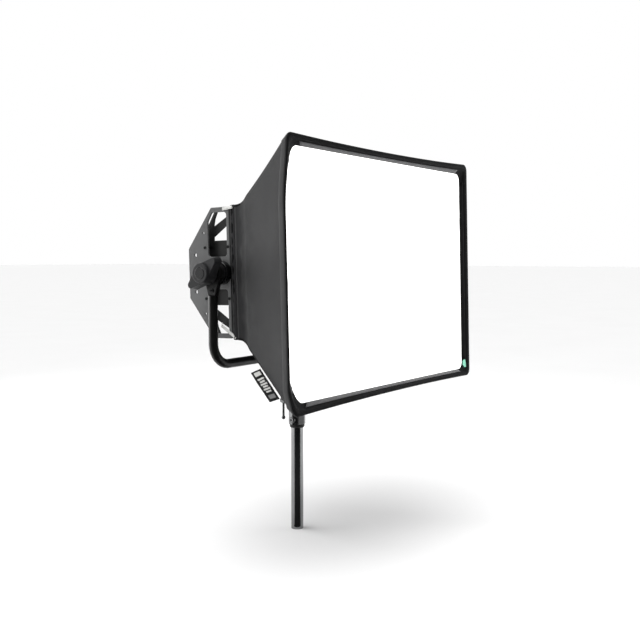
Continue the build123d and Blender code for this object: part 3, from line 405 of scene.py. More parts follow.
def stitches(name, path, outward):
    """A row of thread dashes along a path of points, each standing out of the cloth a little."""
    path, outward = np.asarray(path), np.asarray(outward)
    along = run_along(path)
    turns = np.arange(THREAD_SIDES) * 2 * pi / THREAD_SIDES
    vertices, faces = [], []

    def at(distance, values):
        return np.array([np.interp(distance, along, values[:, k]) for k in range(3)])

    for centre in np.arange(STITCH_PITCH / 2, along[-1], STITCH_PITCH):
        ends = [at(centre + way * STITCH_LENGTH / 2, path) for way in (-1, 1)]
        up = at(centre, outward)
        up /= np.linalg.norm(up)
        run = ends[1] - ends[0]
        run /= np.linalg.norm(run)
        side = np.cross(run, up)
        middle = (ends[0] + ends[1]) / 2 + up * THREAD_RADIUS * STITCH_CREST
        shoulders = [end + (middle - end) * STITCH_SHOULDER for end in ends]
        start = len(vertices)
        vertices.append(ends[0] - up * THREAD_RADIUS * STITCH_SINK)
        for point in (shoulders[0], middle, shoulders[1]):
            for turn in turns:
                vertices.append(point + THREAD_RADIUS * (side * cos(turn) + up * sin(turn)))
        vertices.append(ends[1] - up * THREAD_RADIUS * STITCH_SINK)
        tip = len(vertices) - 1
        last_ring = tip - THREAD_SIDES
        for k in range(THREAD_SIDES):
            n = (k + 1) % THREAD_SIDES
            faces.append((start, start + 1 + n, start + 1 + k))
            for a in range(start + 1, last_ring, THREAD_SIDES):
                b = a + THREAD_SIDES
                faces.append((a + k, a + n, b + n, b + k))
            faces.append((tip, last_ring + k, last_ring + n))
    mesh_piece(name, vertices, faces, THREAD, "softbox")


def soften(names, width, segments=2):
    """Rounds the sharp edges of CAD nodes a little, so that they catch the light as real ones do."""
    for name in names:
        weld = NODES[name].modifiers.new("weld", "WELD")
        weld.merge_threshold = 0.00001
        bevel = NODES[name].modifiers.new("edges", "BEVEL")
        bevel.width = width
        bevel.segments = segments
        bevel.limit_method = "ANGLE"
        bevel.angle_limit = radians(35)
        bevel.harden_normals = False


# ---- softbox shape ----
sleeve_low, sleeve_high = head_box("sleeve")
hem_low, hem_high = head_box("front_hem")

SLEEVE_HALF = (sleeve_high[0], sleeve_high[2])
SLEEVE_FRONT = sleeve_low[1]
SLEEVE_REAR = sleeve_high[1]
SLEEVE_CORNER = 4.0 * MM
FOLD_Y = hem_low[1]
FOLD_HALF = ((hem_high[0] - hem_low[0]) / 2, (hem_high[2] - hem_low[2]) / 2)
FOLD_DROP = -(hem_high[2] + hem_low[2]) / 2
FOLD_CORNER = 20.0 * MM
RUN = SLEEVE_FRONT - FOLD_Y

SIDES = ("right", "top", "left", "bottom")
CORNERS = [
    (x_sign, side, z_sign, height)
    for x_sign, side in ((-1, "left"), (1, "right"))
    for z_sign, height in ((-1, "lower"), (1, "upper"))
]
CORNER_STEPS = 5
SIDE_STEPS = {"right": 64, "left": 64, "top": 92, "bottom": 92}

# how the cloth pulls each front edge: back, the lengths it takes to reach that from either end, and in
EDGE_PULL = {
    "right": (0.0, 100.0 * MM, 100.0 * MM, 0.0),
    "top": (1.5 * MM, 200.0 * MM, 200.0 * MM, 6.5 * MM),
    "left": (12.0 * MM, 150.0 * MM, 60.0 * MM, 1.0 * MM),
    "bottom": (1.0 * MM, 200.0 * MM, 200.0 * MM, 5.5 * MM),
}

# the lip's inner edge: how far in from the front rectangle's sides. LIP_TOP and LIP_BOTTOM are each
# at the left and at the right end. On the left, a gusset fills each corner.
LIP_LEFT = 19.0 * MM
LIP_RIGHT = 30.0 * MM
LIP_TOP = (25.5 * MM, 29.5 * MM)
LIP_BOTTOM = (27.0 * MM, 22.5 * MM)
LIP_DEPTH = 12.0 * MM
GUSSET_REACH = 14.0 * MM
GUSSET_LENGTH = 48.0 * MM
GUSSET_FADE = 8


def side_length(side):
    return 2 * (FOLD_HALF[1] if side in ("left", "right") else FOLD_HALF[0])


def edge_points(side, half, radius):
    """Points from corner middle to corner middle along one side of a rounded rectangle.

    Returns rows of x, z, outward x, outward z, and the share of the way along the side."""
    turn = SIDES.index(side)
    long_half, deep_half = (half[1], half[0]) if turn % 2 == 0 else (half[0], half[1])
    straight = long_half - radius
    local = []

    def bend(end, angle):
        deep = deep_half - radius + radius * cos(angle)
        local.append((deep, end * straight + radius * sin(angle), angle))

    for k in range(CORNER_STEPS):
        bend(-1, -pi / 4 + pi / 4 * k / CORNER_STEPS)
    for k in range(SIDE_STEPS[side] + 1):
        local.append((deep_half, -straight + 2 * straight * k / SIDE_STEPS[side], 0.0))
    for k in range(1, CORNER_STEPS + 1):
        bend(1, pi / 4 * k / CORNER_STEPS)
    rows = []
    base = turn * pi / 2
    for deep, along, angle in local:
        x = deep * cos(base) - along * sin(base)
        z = deep * sin(base) + along * cos(base)
        share = min(max((along / long_half + 1) / 2, 0.0), 1.0)
        rows.append((x, z, cos(base + angle), sin(base + angle), share))
    return np.array(rows)


def ease(value):
    value = min(max(value, 0.0), 1.0)
    return value * value * (3 - 2 * value)


def pull_at(side, share):
    """Backward and inward pull of a front edge at a share of its length."""
    back, from_start, from_end, inward = EDGE_PULL[side]
    length = side_length(side)
    plateau = ease(share * length / from_start) * ease((1 - share) * length / from_end)
    return back * plateau, inward * (1 - (2 * share - 1) ** 2)


def lip_edge(x, z):
    """The lip's inner edge for a point of the front rectangle."""
    across = (x + FOLD_HALF[0]) / (2 * FOLD_HALF[0])
    up = (z + FOLD_HALF[1]) / (2 * FOLD_HALF[1])
    top = FOLD_HALF[1] - LIP_TOP[0] - (LIP_TOP[1] - LIP_TOP[0]) * across
    bottom = -FOLD_HALF[1] + LIP_BOTTOM[0] + (LIP_BOTTOM[1] - LIP_BOTTOM[0]) * across
    inner_x = -FOLD_HALF[0] + LIP_LEFT + (2 * FOLD_HALF[0] - LIP_LEFT - LIP_RIGHT) * across
    inner_z = bottom + (top - bottom) * up
    near_corner = max(0.0, 1 - min(top - inner_z, inner_z - bottom) / GUSSET_LENGTH)
    return inner_x + GUSSET_REACH * near_corner * (1 - across) ** GUSSET_FADE, inner_z


def wobble(side, share, rate, seed, low=0.0):
    """Repeatable noise along a side, about -1 to 1, calm at the corners."""
    calm = min(1.0, low + 14 * share, low + 14 * (1 - share))
    place = Vector((share * side_length(side) * rate, seed, SIDES.index(side) * 7.3))
    return calm * noise.noise(place)


def section_point(side, row, out, behind, slope=0.0):
    """A point out from the front fold and behind its foremost line, pulled as the edge is.

    slope is how far the wall has closed in there, which at a corner it does both ways at once."""
    x, z, nx, nz, share = row
    back, inward = pull_at(side, share)
    reach = out - inward
    mitre = slope / max(abs(nx), abs(nz))
    upright = mitre * (FOLD_HALF[1] - SLEEVE_HALF[1]) / (FOLD_HALF[0] - SLEEVE_HALF[0])
    return (x + nx * (reach + mitre), FOLD_Y + behind + back, z + nz * (reach + upright) - FOLD_DROP)


def front_loop(place):
    """place(side, row) for every point round the front rectangle."""
    return [
        place(side, row) for side in SIDES for row in edge_points(side, FOLD_HALF, FOLD_CORNER)[:-1]
    ]


def fold_loop(out, behind):
    """Loop of points that keep one place in the fold's section."""
    return front_loop(lambda side, row: section_point(side, row, out, behind))


# ---- softbox: walls ----
BEND_BACK = 14.0 * MM  # the walls leave the sleeve this far behind its front
BEND_FRONT = 30.0 * MM  # and run straight from this far ahead of it
WALL_END = FOLD_Y + 14.0 * MM
WALL_CORNER = 13.0 * MM  # at the fold
WALL_ROWS = 48
WALL_THICKNESS = 0.8 * MM
SOFT_FOLDS, LONG_FOLDS, BUCKLES = 2.6 * MM, 1.1 * MM, 2.4 * MM
SEAM_STEPS = 40
SEAM_SAG = 3.5 * MM
SEAM_LIFT = 0.7 * MM
SEAM_HALF = 4.0 * MM
SEAM_FALL = 2.6 * MM


def wall_at(share):
    """Half width and height, drop, y, corner radius and share of the run, from sleeve to fold."""
    y = SLEEVE_FRONT + BEND_BACK + (WALL_END - SLEEVE_FRONT - BEND_BACK) * share
    forward = SLEEVE_FRONT - y
    half = []
    for k in (0, 1):
        slope = (FOLD_HALF[k] - SLEEVE_HALF[k]) / RUN
        if forward < BEND_FRONT:
            part = (forward + BEND_BACK) / (BEND_BACK + BEND_FRONT)
            half.append(SLEEVE_HALF[k] + slope * BEND_FRONT * part * part)
        else:
            half.append(SLEEVE_HALF[k] + slope * forward)
    out = max(0.0, forward) / RUN
    return half, FOLD_DROP * out, y, SLEEVE_CORNER + (WALL_CORNER - SLEEVE_CORNER) * out, out


def wrinkle(side, share, out):
    """Small undulation of a wall: buckles by the sleeve, long soft folds that fan out beyond it."""
    seed = SIDES.index(side) * 17.3
    along = (share - 0.5) * side_length(side) * (0.62 + 0.38 * out)
    calm = min(1.0, 10 * share, 10 * (1 - share))
    soft = noise.noise(Vector((along * 6.0 + seed, out * 1.4, seed)))
    fold = noise.noise(Vector((along * 15.0 - seed, out * 1.8, seed + 5.0)))
    buckle = noise.noise(Vector((along * 36.0, out * 5.0, seed + 9.0)))
    near_sleeve = ease(1 - out / 0.5) * ease(out / 0.03)
    edges = ease(out / 0.06) * ease((1.0 - out) / 0.12)
    return calm * (edges * (SOFT_FOLDS * soft + LONG_FOLDS * fold) + near_sleeve * BUCKLES * buckle)


def seam_sag(share, out):
    """Hollow of the corner seams between the sleeve and the hem, where nothing stretches them."""
    corner = max(0.0, abs(2 * share - 1) - 0.6) / 0.4
    return SEAM_SAG * corner * corner * sin(pi * min(1.0, out))


def wall_point(side, row, drop, y, out, lift):
    x, z, nx, nz, share = row
    back, inward = pull_at(side, share)
    pull = out**1.6
    hollow = seam_sag(share, out) if z > 0 else 0.0
    reach = lift - inward * pull - hollow
    return (x + nx * reach, y + back * pull, z + nz * reach - drop)


def build_wall(side):
    """One flared wall of cloth, from the sleeve to the hem, as a single wrinkled sheet."""
    upright = side in ("left", "right")
    vertices, uvs = [], []
    for r in range(WALL_ROWS):
        half, drop, y, radius, out = wall_at(r / (WALL_ROWS - 1))
        line = edge_points(side, half, radius)
        for row in line:
            vertices.append(wall_point(side, row, drop, y, out, wrinkle(side, row[4], out)))
            uvs.append((row[1] if upright else row[0], y))
    faces = grid_faces(WALL_ROWS, len(line))
    fabric = MATERIALS["black_fabric"]
    name = f"panel_{side}_cloth"
    piece = mesh_piece(name, from_head(vertices), faces, fabric, "softbox", uvs)
    thicken(piece, WALL_THICKNESS)
    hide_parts(f"panel_{side}")


def build_seam(x_sign, side, z_sign, height):
    """Bound seam where two walls meet: a flat tape folded over the corner."""
    lines = []
    for k in range(SEAM_STEPS):
        half, drop, y, radius, out = wall_at(k / (SEAM_STEPS - 1))
        ends = edge_points(side, half, radius)[[0, -1]]
        corner = ends[ends[:, 1].argmax() if z_sign > 0 else ends[:, 1].argmin()]
        nx, nz = corner[2:4]
        base = np.array(wall_point(side, corner, drop, y, out, SEAM_LIFT))
        section = []
        for step in (-1.0, -0.6, 0.0, 0.6, 1.0):
            shift, fall = SEAM_HALF * step, -SEAM_FALL * abs(step) ** 1.5
            section.append(base + np.array((nx * fall - nz * shift, 0.0, nz * fall + nx * shift)))
        lines.append(section)
    lines = np.array(lines)
    if z_sign * x_sign < 0:
        lines = lines[:, ::-1]
    binding = MATERIALS["black_binding"]
    strip(f"seam_{height}_{side}", lines.swapaxes(0, 1), binding, 0.5 * MM)


for side in SIDES:
    build_wall(side)
for corner in CORNERS:
    build_seam(*corner)


# ---- softbox: front edge ----
FOLD_RADIUS = 3.4 * MM
FOLD_CENTRE = np.array((-4.6, 3.9)) * MM  # out and behind, as are the next three
WALL_WAY = np.array((-0.48, 0.877))  # backwards along a wall
WALL_NORMAL = np.array((0.877, 0.48))
LIP_NORMAL = np.array((-0.42, -0.909))  # of the lip's front face
BAND_WIDTH = 21.0 * MM
BAND_STEPS = 8
BAND_SWELL = 0.7 * MM
BAND_THICKNESS = 0.7 * MM
HEM_STEPS = 12
HEM_ROLL = 1.3 * MM
GATHERS = (0.9 * MM, 0.35 * MM)  # between the fold and the tape, and on the tape
HEM_BACK = ((1.0, -1.2 * MM), (0.6, -1.6 * MM), (0.1, -2.4 * MM))  # part and rise of its rear face
HOOP_RADIUS = 2.4 * MM
HOOP_SIDES = 8


def fold_arc(start, end, steps):
    """Points of the fold from one angle to another; 0 is straight out and 90 straight ahead."""
    angles = [radians(start + (end - start) * k / steps) for k in range(steps + 1)]
    return [FOLD_CENTRE + FOLD_RADIUS * np.array((cos(a), -sin(a))) for a in angles]


def build_band():
    """Band of cloth doubled over the outside of the walls along the front edge."""
    rows = []
    for k in range(BAND_STEPS + 1):
        back = BAND_WIDTH * (1 - k / BAND_STEPS)
        height = FOLD_RADIUS - (1.0 * MM if k == 0 else 0.0)
        out, behind = FOLD_CENTRE + height * WALL_NORMAL
        rows.append((out, behind + WALL_WAY[1] * back, WALL_WAY[0] * back, k / BAND_STEPS))
    rows += [(*point, 0.0, 1.0) for point in fold_arc(-18.0, 42.0, 5)[1:]]
    sections = []
    for out, behind, slope, part in rows:

        def place(side, row):
            uneven = 1 + 0.9 * wobble(side, row[4], 42.0, part * 0.8 + 3.0)
            pucker = BAND_SWELL * sin(pi * part) * uneven
            hollow = seam_sag(row[4], 0.9) * (1 - part) if row[1] > 0 else 0.0
            return section_point(side, row, out + pucker - hollow, behind, slope)

        sections.append(front_loop(place))
    # the lighter band cloth is painted light: the front band catching more light than the walls
    fabric = MATERIALS["band_fabric"]
    piece = swept_loop("edge_band", sections, fabric, closed_section=False)
    thicken(piece, BAND_THICKNESS)


def lip_way(row):
    """Outward from the lip's front face, in the head's own frame."""
    return np.array((LIP_NORMAL[0] * row[2], LIP_NORMAL[1], LIP_NORMAL[0] * row[3]))


def lip_point(side, row, part, rise):
    """A point on the lip's front face: part 0 at the fold and 1 at the inner edge, raised by rise."""
    out, behind = FOLD_CENTRE + FOLD_RADIUS * LIP_NORMAL
    start = np.array(section_point(side, row, out, behind))
    inner_x, inner_z = lip_edge(row[0], row[1])
    back, _ = pull_at(side, row[4])
    end = np.array((inner_x, FOLD_Y + LIP_DEPTH + back, inner_z - FOLD_DROP))
    return start + (end - start) * part + rise * lip_way(row)


def build_hem():
    """Black hem: round the fold and in to the edge of the diffuser, with its gathers."""
    sections = [fold_loop(*point) for point in fold_arc(30.0, 115.0, 7)]
    for k in range(HEM_STEPS + 1):
        part = k / HEM_STEPS
        roll = HEM_ROLL * sin(pi * part / 0.5) if part < 0.5 else 0.0
        depth = GATHERS[0 if part < 0.55 else 1] * sin(pi * part)

        def place(side, row):
            gather = depth * wobble(side, row[4], 55.0, 11.0 + part * 1.6)
            return lip_point(side, row, part, roll + gather)

        sections.append(front_loop(place))
    for part, rise in HEM_BACK:
        sections.append(front_loop(lambda side, row: lip_point(side, row, part, rise)))
    piece = swept_loop("hem_roll", sections, MATERIALS["black_binding"])
    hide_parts("front_hem")


def build_hoop():
    """Spring-steel hoop inside the fold, bent by the cloth's pull."""
    sections = []
    for k in range(HOOP_SIDES):
        turn = 2 * pi * k / HOOP_SIDES
        sections.append(fold_loop(*(FOLD_CENTRE + HOOP_RADIUS * np.array((cos(turn), sin(turn))))))
    piece = swept_loop("hoop_rod", sections, MATERIALS["hoop_steel"])
    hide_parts("front_hoop")


TAPE_START, TAPE_END = 0.52, 0.97  # shares of the way from the fold to the lip's inner edge
TAPE_GAP = 13.0 * MM  # the tapes stop short of the corners' rounding by this
TAPE_STEPS = 6
SEWN_IN = 0.05  # how far in from the tape's edges its stitches run
SEWN_RISE = 1.5 * MM


def tape_rows(side):
    gap = (TAPE_GAP + FOLD_CORNER) / side_length(side)
    return [row for row in edge_points(side, FOLD_HALF, FOLD_CORNER) if gap < row[4] < 1 - gap]


def build_tape(side):
    """Loop tape that the diffuser is pressed on to, sewn along one side of the lip."""
    lines = []
    for k in range(TAPE_STEPS + 1):
        part = TAPE_START + (TAPE_END - TAPE_START) * k / TAPE_STEPS
        crown = 0.9 + 0.5 * sin(pi * k / TAPE_STEPS)
        line = []
        for row in tape_rows(side):
            ripple = 0.45 * wobble(side, row[4], 48.0, 31.0 + part * 3, 0.3)
            line.append(lip_point(side, row, part, (crown + ripple) * MM))
        lines.append(line)
    # the right tape is drawn in the black binding as painted shade, and the other tapes in the paler loop tape as
    # painted light
    material = MATERIALS["black_binding" if side == "right" else "loop_tape"]
    strip(f"lip_tape_{side}", lines[::-1], material, 0.8 * MM)


def lip_stitches(name, side, part):
    """A row of stitches along the lip."""
    rows = tape_rows(side)
    path = from_head([lip_point(side, row, part, SEWN_RISE) for row in rows])
    stitches(name, path, ways_from_head([lip_way(row) for row in rows]))


build_band()
build_hem()
build_hoop()
for side in SIDES:
    build_tape(side)
    lip_stitches(f"stitches_tape_outer_{side}", side, TAPE_START + SEWN_IN)
    lip_stitches(f"stitches_tape_inner_{side}", side, TAPE_END - SEWN_IN)


# ---- softbox: diffuser ----
DIFFUSER_COLUMNS, DIFFUSER_ROWS = 96, 66
DIFFUSER_MARGIN = 3.0 * MM  # past the lip's inner edge
DIFFUSER_BACK = 0.9 * MM  # behind the lip
DIFFUSER_PUCKER = 0.7 * MM  # along its edges, and no further ahead than DIFFUSER_LIMIT
DIFFUSER_LIMIT = -0.2 * MM
DIFFUSER_SAG = 1.5 * MM


def diffuser_edge(u, v, side, share):
    """A point of the diffuser's outline, with u and v from 0 to 1 across and up."""
    across, up = 2 * u - 1, 2 * v - 1
    inner_x, inner_z = lip_edge(across * FOLD_HALF[0], up * FOLD_HALF[1])
    back, _ = pull_at(side, share)
    y = FOLD_Y + LIP_DEPTH + DIFFUSER_BACK + back
    z = inner_z + DIFFUSER_MARGIN * up - FOLD_DROP
    return np.array((inner_x + DIFFUSER_MARGIN * across, y, z))


def diffuser_point(u, v):
    """A point of the cloth, filled in between its four edges."""
    edge = diffuser_edge
    bottom, top = edge(u, 0, "bottom", u), edge(u, 1, "top", 1 - u)
    left, right = edge(0, v, "left", 1 - v), edge(1, v, "right", v)
    corners = (1 - u) * (1 - v) * edge(0, 0, "left", 1) + u * (1 - v) * edge(1, 0, "right", 0)
    corners += (1 - u) * v * edge(0, 1, "left", 0) + u * v * edge(1, 1, "right", 1)
    point = (1 - v) * bottom + v * top + (1 - u) * left + u * right - corners
    near_edge = 1 - min(1.0, 8 * min(u, 1 - u, v, 1 - v))
    pull = noise.noise(Vector((u * 26.0, v * 18.0, 4.0))) * near_edge * DIFFUSER_PUCKER
    soft = noise.noise(Vector((u * 3.0, v * 3.0, 9.0))) * (1 - near_edge) * DIFFUSER_SAG
    point[1] += max(DIFFUSER_LIMIT, pull + soft) if near_edge > 0.5 else pull + soft
    return point


def build_diffuser():
    """Diffusion cloth pressed on to the loop tape, stretched between the lip's four edges."""
    columns, rows = DIFFUSER_COLUMNS, DIFFUSER_ROWS
    vertices = [
        diffuser_point(c / (columns - 1), r / (rows - 1)) for r in range(rows) for c in range(columns)
    ]
    uvs = [(point[0], point[2]) for point in vertices]
    faces, cloth = grid_faces(rows, columns), MATERIALS["white_diffusion"]
    piece = mesh_piece("diffuser_cloth", from_head(vertices), faces, cloth, "softbox", uvs)
    thicken(piece, 0.5 * MM, 1.0)
    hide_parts("diffuser")
    low, high = head_box("diffuser")


build_diffuser()


# ---- softbox: sleeve ----
SLEEVE_STEPS = 16
SLEEVE_PUFF = 0.8 * MM
SLEEVE_TUCK = 1.0 * MM  # how far it goes in under the walls at its front
TUCK_START = BEND_BACK + 3.0 * MM  # behind its front
TUCK_LENGTH = 4.0 * MM
BINDING_SIDES = 10
BINDING_HALF = (1.3 * MM, 5.0 * MM)  # half its thickness and half its width
BINDING_CENTRE = (-0.9 * MM, 4.5 * MM)  # out from the sleeve, and ahead of its rear edge


def sleeve_loop(place):
    """place(side, row) for every point round the sleeve."""
    return [
        place(side, row) for side in SIDES for row in edge_points(side, SLEEVE_HALF, SLEEVE_CORNER)[:-1]
    ]


def build_sleeve():
    """Straight sleeve that grips the light, tucked under the walls at its front."""
    sections = []
    for k in range(SLEEVE_STEPS + 1):
        part = k / SLEEVE_STEPS
        y = SLEEVE_REAR + (SLEEVE_FRONT - SLEEVE_REAR) * part
        under = min(1.0, max(0.0, (SLEEVE_FRONT + TUCK_START - y) / TUCK_LENGTH))
        swell = sin(pi * min(1.0, part * 1.7)) * (1 - under)

        def place(side, row):
            x, z, nx, nz, share = row
            uneven = noise.noise(Vector((share * 26.0, part * 2.0, SIDES.index(side) * 5.0)))
            reach = SLEEVE_PUFF * max(0.0, 0.5 + uneven) * swell - SLEEVE_TUCK * under
            return (x + nx * reach, y, z + nz * reach)

        sections.append(sleeve_loop(place))
    fabric = MATERIALS["black_fabric"]
    piece = swept_loop("sleeve_cloth", sections, fabric, closed_section=False)
    thicken(piece, 0.9 * MM)
    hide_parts("sleeve")


def build_sleeve_binding():
    """Webbing bound round the sleeve's rear edge."""
    sections = []
    for k in range(BINDING_SIDES):
        angle = 2 * pi * k / BINDING_SIDES
        reach = BINDING_CENTRE[0] + BINDING_HALF[0] * cos(angle)
        y = SLEEVE_REAR - BINDING_CENTRE[1] + BINDING_HALF[1] * sin(angle)
        sections.append(
            sleeve_loop(lambda side, row: (row[0] + row[2] * reach, y, row[1] + row[3] * reach))
        )
    swept_loop("sleeve_binding", sections, MATERIALS["black_binding"])


build_sleeve()
build_sleeve_binding()


# ---- softbox: label flag, pull tab and corner straps ----
def plate_axes(node):
    """Middle of a thin CAD plate in the head's frame, its long and short half axes, and its normal."""
    points = head_points(node)
    middle = (points.max(0) + points.min(0)) / 2
    _, ways = np.linalg.eigh(np.cov((points - middle).T))
    long_way, short_way = ways[:, 2], ways[:, 1]
    long_way = long_way * (1 if long_way[2] > 0 else -1)
    short_way = short_way * (1 if short_way[0] > 0 else -1)
    halves = [np.abs((points - middle) @ way).max() for way in (long_way, short_way)]
    return middle, long_way * halves[0], short_way * halves[1], np.cross(long_way, short_way)


FLAG_MIDDLE, FLAG_LONG, FLAG_SHORT, FLAG_FACING = plate_axes("seam_flag")
FLAG_RISE = 0.45 * MM
FLAG_THICKNESS = 0.9 * MM
FLAG_CURL = 2.4 * MM
FLAG_UNEVENNESS = 0.9 * MM
PRINT_THICKNESS = 0.3 * MM
PRINT_RISE = {"front": 0.75 * MM, "back": -0.45 * MM}
BLOCK = ((0.66, 0.90), (-0.62, 0.62))  # spans along and across the flag, from -1 to 1
FOOT = ((-0.86, -0.62), (-0.6, 0.6))
BARS = 6
BAR_FIRST, BAR_PITCH, BAR_SPAN = 0.48, 0.17, (-0.085, 0.02)
BORDER = ((-0.95, 0.84), (0.95, 0.84), (0.95, -0.84), (-0.95, -0.84))
BORDER_STEPS = 24
BORDER_RISE = 0.5 * MM


def between(span, share):
    return span[0] + (span[1] - span[0]) * share


def flag_point(along, across, rise):
    """A point of the flag, -1 to 1 each way, with the curl its free edge and corners have."""
    curl = FLAG_CURL * sin(along * 2.1 + 0.4) * (0.5 - 0.5 * across)
    curl += FLAG_UNEVENNESS * noise.noise(Vector((along * 2.6, across * 1.2, 3.0)))
    return FLAG_MIDDLE + FLAG_LONG * along + FLAG_SHORT * across + FLAG_FACING * (curl + rise)


def flag_patch(name, spans, rise, material, thickness):
    """A patch of cloth that lies on the flag between two positions each way."""
    columns, rows = 40, 10
    lines = []
    for r in range(rows + 1):
        across = between(spans[1], r / rows)
        line = [flag_point(between(spans[0], c / columns), across, rise) for c in range(columns + 1)]
        lines.append(line)
    return strip(name, lines, material, thickness)


def build_flag():
    """Woven flag in the lower left seam, with plain blocks and bars where a label has its print."""
    whole = ((-1.0, 1.0), (-1.0, 1.0))
    flag = flag_patch("flag_cloth", whole, FLAG_RISE, MATERIALS["woven_flag"], FLAG_THICKNESS)
    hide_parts("seam_flag")
    size = (2 * np.linalg.norm(FLAG_LONG), 2 * np.linalg.norm(FLAG_SHORT))
    for face, rise in PRINT_RISE.items():
        flag_patch(f"flag_block_{face}", BLOCK, rise, PALE_THREAD, PRINT_THICKNESS)
        for k in range(BARS):
            start = BAR_FIRST - BAR_PITCH * k
            width = 0.62 if k % 2 == 0 else 0.5
            spans = ((start + BAR_SPAN[0], start + BAR_SPAN[1]), (-width, width))
            flag_patch(f"flag_bar_{face}_{k + 1}", spans, rise, PALE_THREAD, PRINT_THICKNESS)
        flag_patch(f"flag_foot_{face}", FOOT, rise, GREY_THREAD, PRINT_THICKNESS)
    path = []
    for start, end in zip(BORDER, BORDER[1:] + BORDER[:1]):
        for k in range(BORDER_STEPS):
            along, across = (start[n] + (end[n] - start[n]) * k / BORDER_STEPS for n in (0, 1))
            path.append(flag_point(along, across, BORDER_RISE))
    ways = ways_from_head(np.tile(FLAG_FACING, (len(path), 1)))
    stitches("flag_stitches", from_head(path), ways)


TAB_COLUMNS = 16
TAB_STEPS = 24  # along each half
TAB_TURN_STEPS = 8
TAB_LOOP = 0.96  # where the halves meet in the turn, by the tab's half length
TAB_GAP = 0.75  # from the tab's middle to either half, by TAB_HEIGHT
TAB_HEIGHT = 0.6 * MM
TAB_BELLY = 0.9
TAB_BEND = 1.2 * MM
TAB_CUP = 0.5 * MM


def build_tab():
    """Pull tab: a ribbon folded in two, its cut ends sewn under the lip's tape."""
    middle, long_half, short_half, facing = plate_axes("pull_tab")
    length = 1 + TAB_LOOP
    route = []
    for k in range(TAB_STEPS + 1):
        part = k / TAB_STEPS
        route.append((-1.0 + length * part, TAB_GAP + TAB_BELLY * sin(pi * part)))
    for k in range(1, TAB_TURN_STEPS):
        angle = pi / 2 - pi * k / TAB_TURN_STEPS
        route.append((TAB_LOOP + (1 - TAB_LOOP) * cos(angle), TAB_GAP * sin(angle)))
    for k in range(TAB_STEPS + 1):
        route.append((TAB_LOOP - length * k / TAB_STEPS, -TAB_GAP))
    lines = []
    for along, height in route:
        bend = TAB_BEND * (along + 1) ** 2 / 4
        line = []
        for c in range(TAB_COLUMNS + 1):
            across = -1 + 2 * c / TAB_COLUMNS
            cup = TAB_CUP * across * across * (0.3 + 0.7 * (along + 1) / 2)
            lift = facing * (height * TAB_HEIGHT + bend + cup)
            line.append(middle + long_half * along + short_half * across + lift)
        lines.append(line)
    piece = strip("pull_tab_ribbon", lines, MATERIALS["green_tab"], 0.35 * MM)
    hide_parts("pull_tab")
    size = (4 * np.linalg.norm(long_half), 2 * np.linalg.norm(short_half))


PLATE_FACE = head_box("side_plate_right")[1][0]
STRAP_WIDTH = 7.0 * MM
STRAP_THICKNESS = 0.9 * MM
STRAP_ROWS, STRAP_STEPS = 6, 32
STRAP_INSET = np.array((7.0, 5.0)) * MM  # its start, ahead of and in from the sleeve's rear corner
STRAP_END = {"lower": np.array((12.0, -119.0)) * MM, "upper": np.array((-3.0, 147.0)) * MM}
STRAP_OUT, STRAP_BOW = 1.4 * MM, 1.6 * MM  # out from the plate, and more than that at its start
STRAP_UNEVENNESS = 0.25 * MM
STRAP_TUCK = 9.0 * MM  # its end goes into the side plate by this
STRAP_TUCK_FROM = 0.86  # share of its length


def build_strap(x_sign, side, z_sign, height):
    """White elastic strap from a rear corner of the sleeve to the side plate."""
    start = np.array((SLEEVE_REAR - STRAP_INSET[0], z_sign * (SLEEVE_HALF[1] - STRAP_INSET[1])))
    end = STRAP_END[height]
    way = (end - start) / np.linalg.norm(end - start)
    across = np.array((-way[1], way[0]))
    lines = []
    for r in range(STRAP_ROWS + 1):
        offset = STRAP_WIDTH * (r / STRAP_ROWS - 0.5)
        line = []
        for k in range(STRAP_STEPS + 1):
            share = k / STRAP_STEPS
            y, z = start + (end - start) * share + across * offset
            uneven = STRAP_UNEVENNESS * noise.noise(Vector((share * 7, r * 0.4, 1.0)))
            out = STRAP_OUT + STRAP_BOW * (1 - share) ** 2 + uneven
            tuck = STRAP_TUCK * ease((share - STRAP_TUCK_FROM) / (1 - STRAP_TUCK_FROM))
            line.append((x_sign * (PLATE_FACE + out - tuck), y, z))
        lines.append(line)
    if x_sign * z_sign > 0:
        lines = lines[::-1]
    name = f"corner_strap_{height}_{side}"
    piece = strip(name, lines, ELASTIC, STRAP_THICKNESS, None)
    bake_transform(piece)


build_flag()
build_tab()
for corner in CORNERS:
    build_strap(*corner)


# ---- rounded edges on the hard parts ----
soften(["side_plate_left", "side_plate_right"], 0.5 * MM)
soften(["end_frame_left", "end_frame_right", "rear_box", "front_housing", "pin_block"], 0.6 * MM)
soften(["tilt_knob_left", "tilt_knob_right"], 1.0 * MM, 3)
soften(["receiver_casting", "receiver_ring", "control_panel"], 0.5 * MM)
soften(["arm_end_left", "arm_end_right"], 0.5 * MM)


# ---- stage ----
def plain(name, level):
    """Paper of one tone, with a faint cloudiness."""
    shader = Shader(name, Roughness=0.9)
    tones = [(0.3, grey(level * 0.98, 0.0)), (0.7, grey(level, 0.0))]
    shader.colour(shader.ramp(shader.noise(2.0), tones))
    return shader.material


def direction(azimuth, elevation):
    """Unit vector towards an azimuth, 0 in front of the object, and an elevation, in degrees."""
    a, e = radians(azimuth), radians(elevation)
    return Vector((sin(a) * cos(e), -cos(a) * cos(e), sin(e)))


FLOOR_REACH = 60.0
CAMERA_SIDE = direction(-56.0, 0.0)
CARD_START = Vector((0.0, 0.0, 0.004))  # just over the floor, at the stand's foot
CARD_START_OFFSETS = (0.02, -0.02, 0.03)  # its near edge: towards the camera, and to either side
CARD_OFFSETS = (1.15, -1.4, 2.4)  # where it turns up
CARD_HEIGHT = Vector((0.0, 0.0, 2.0))


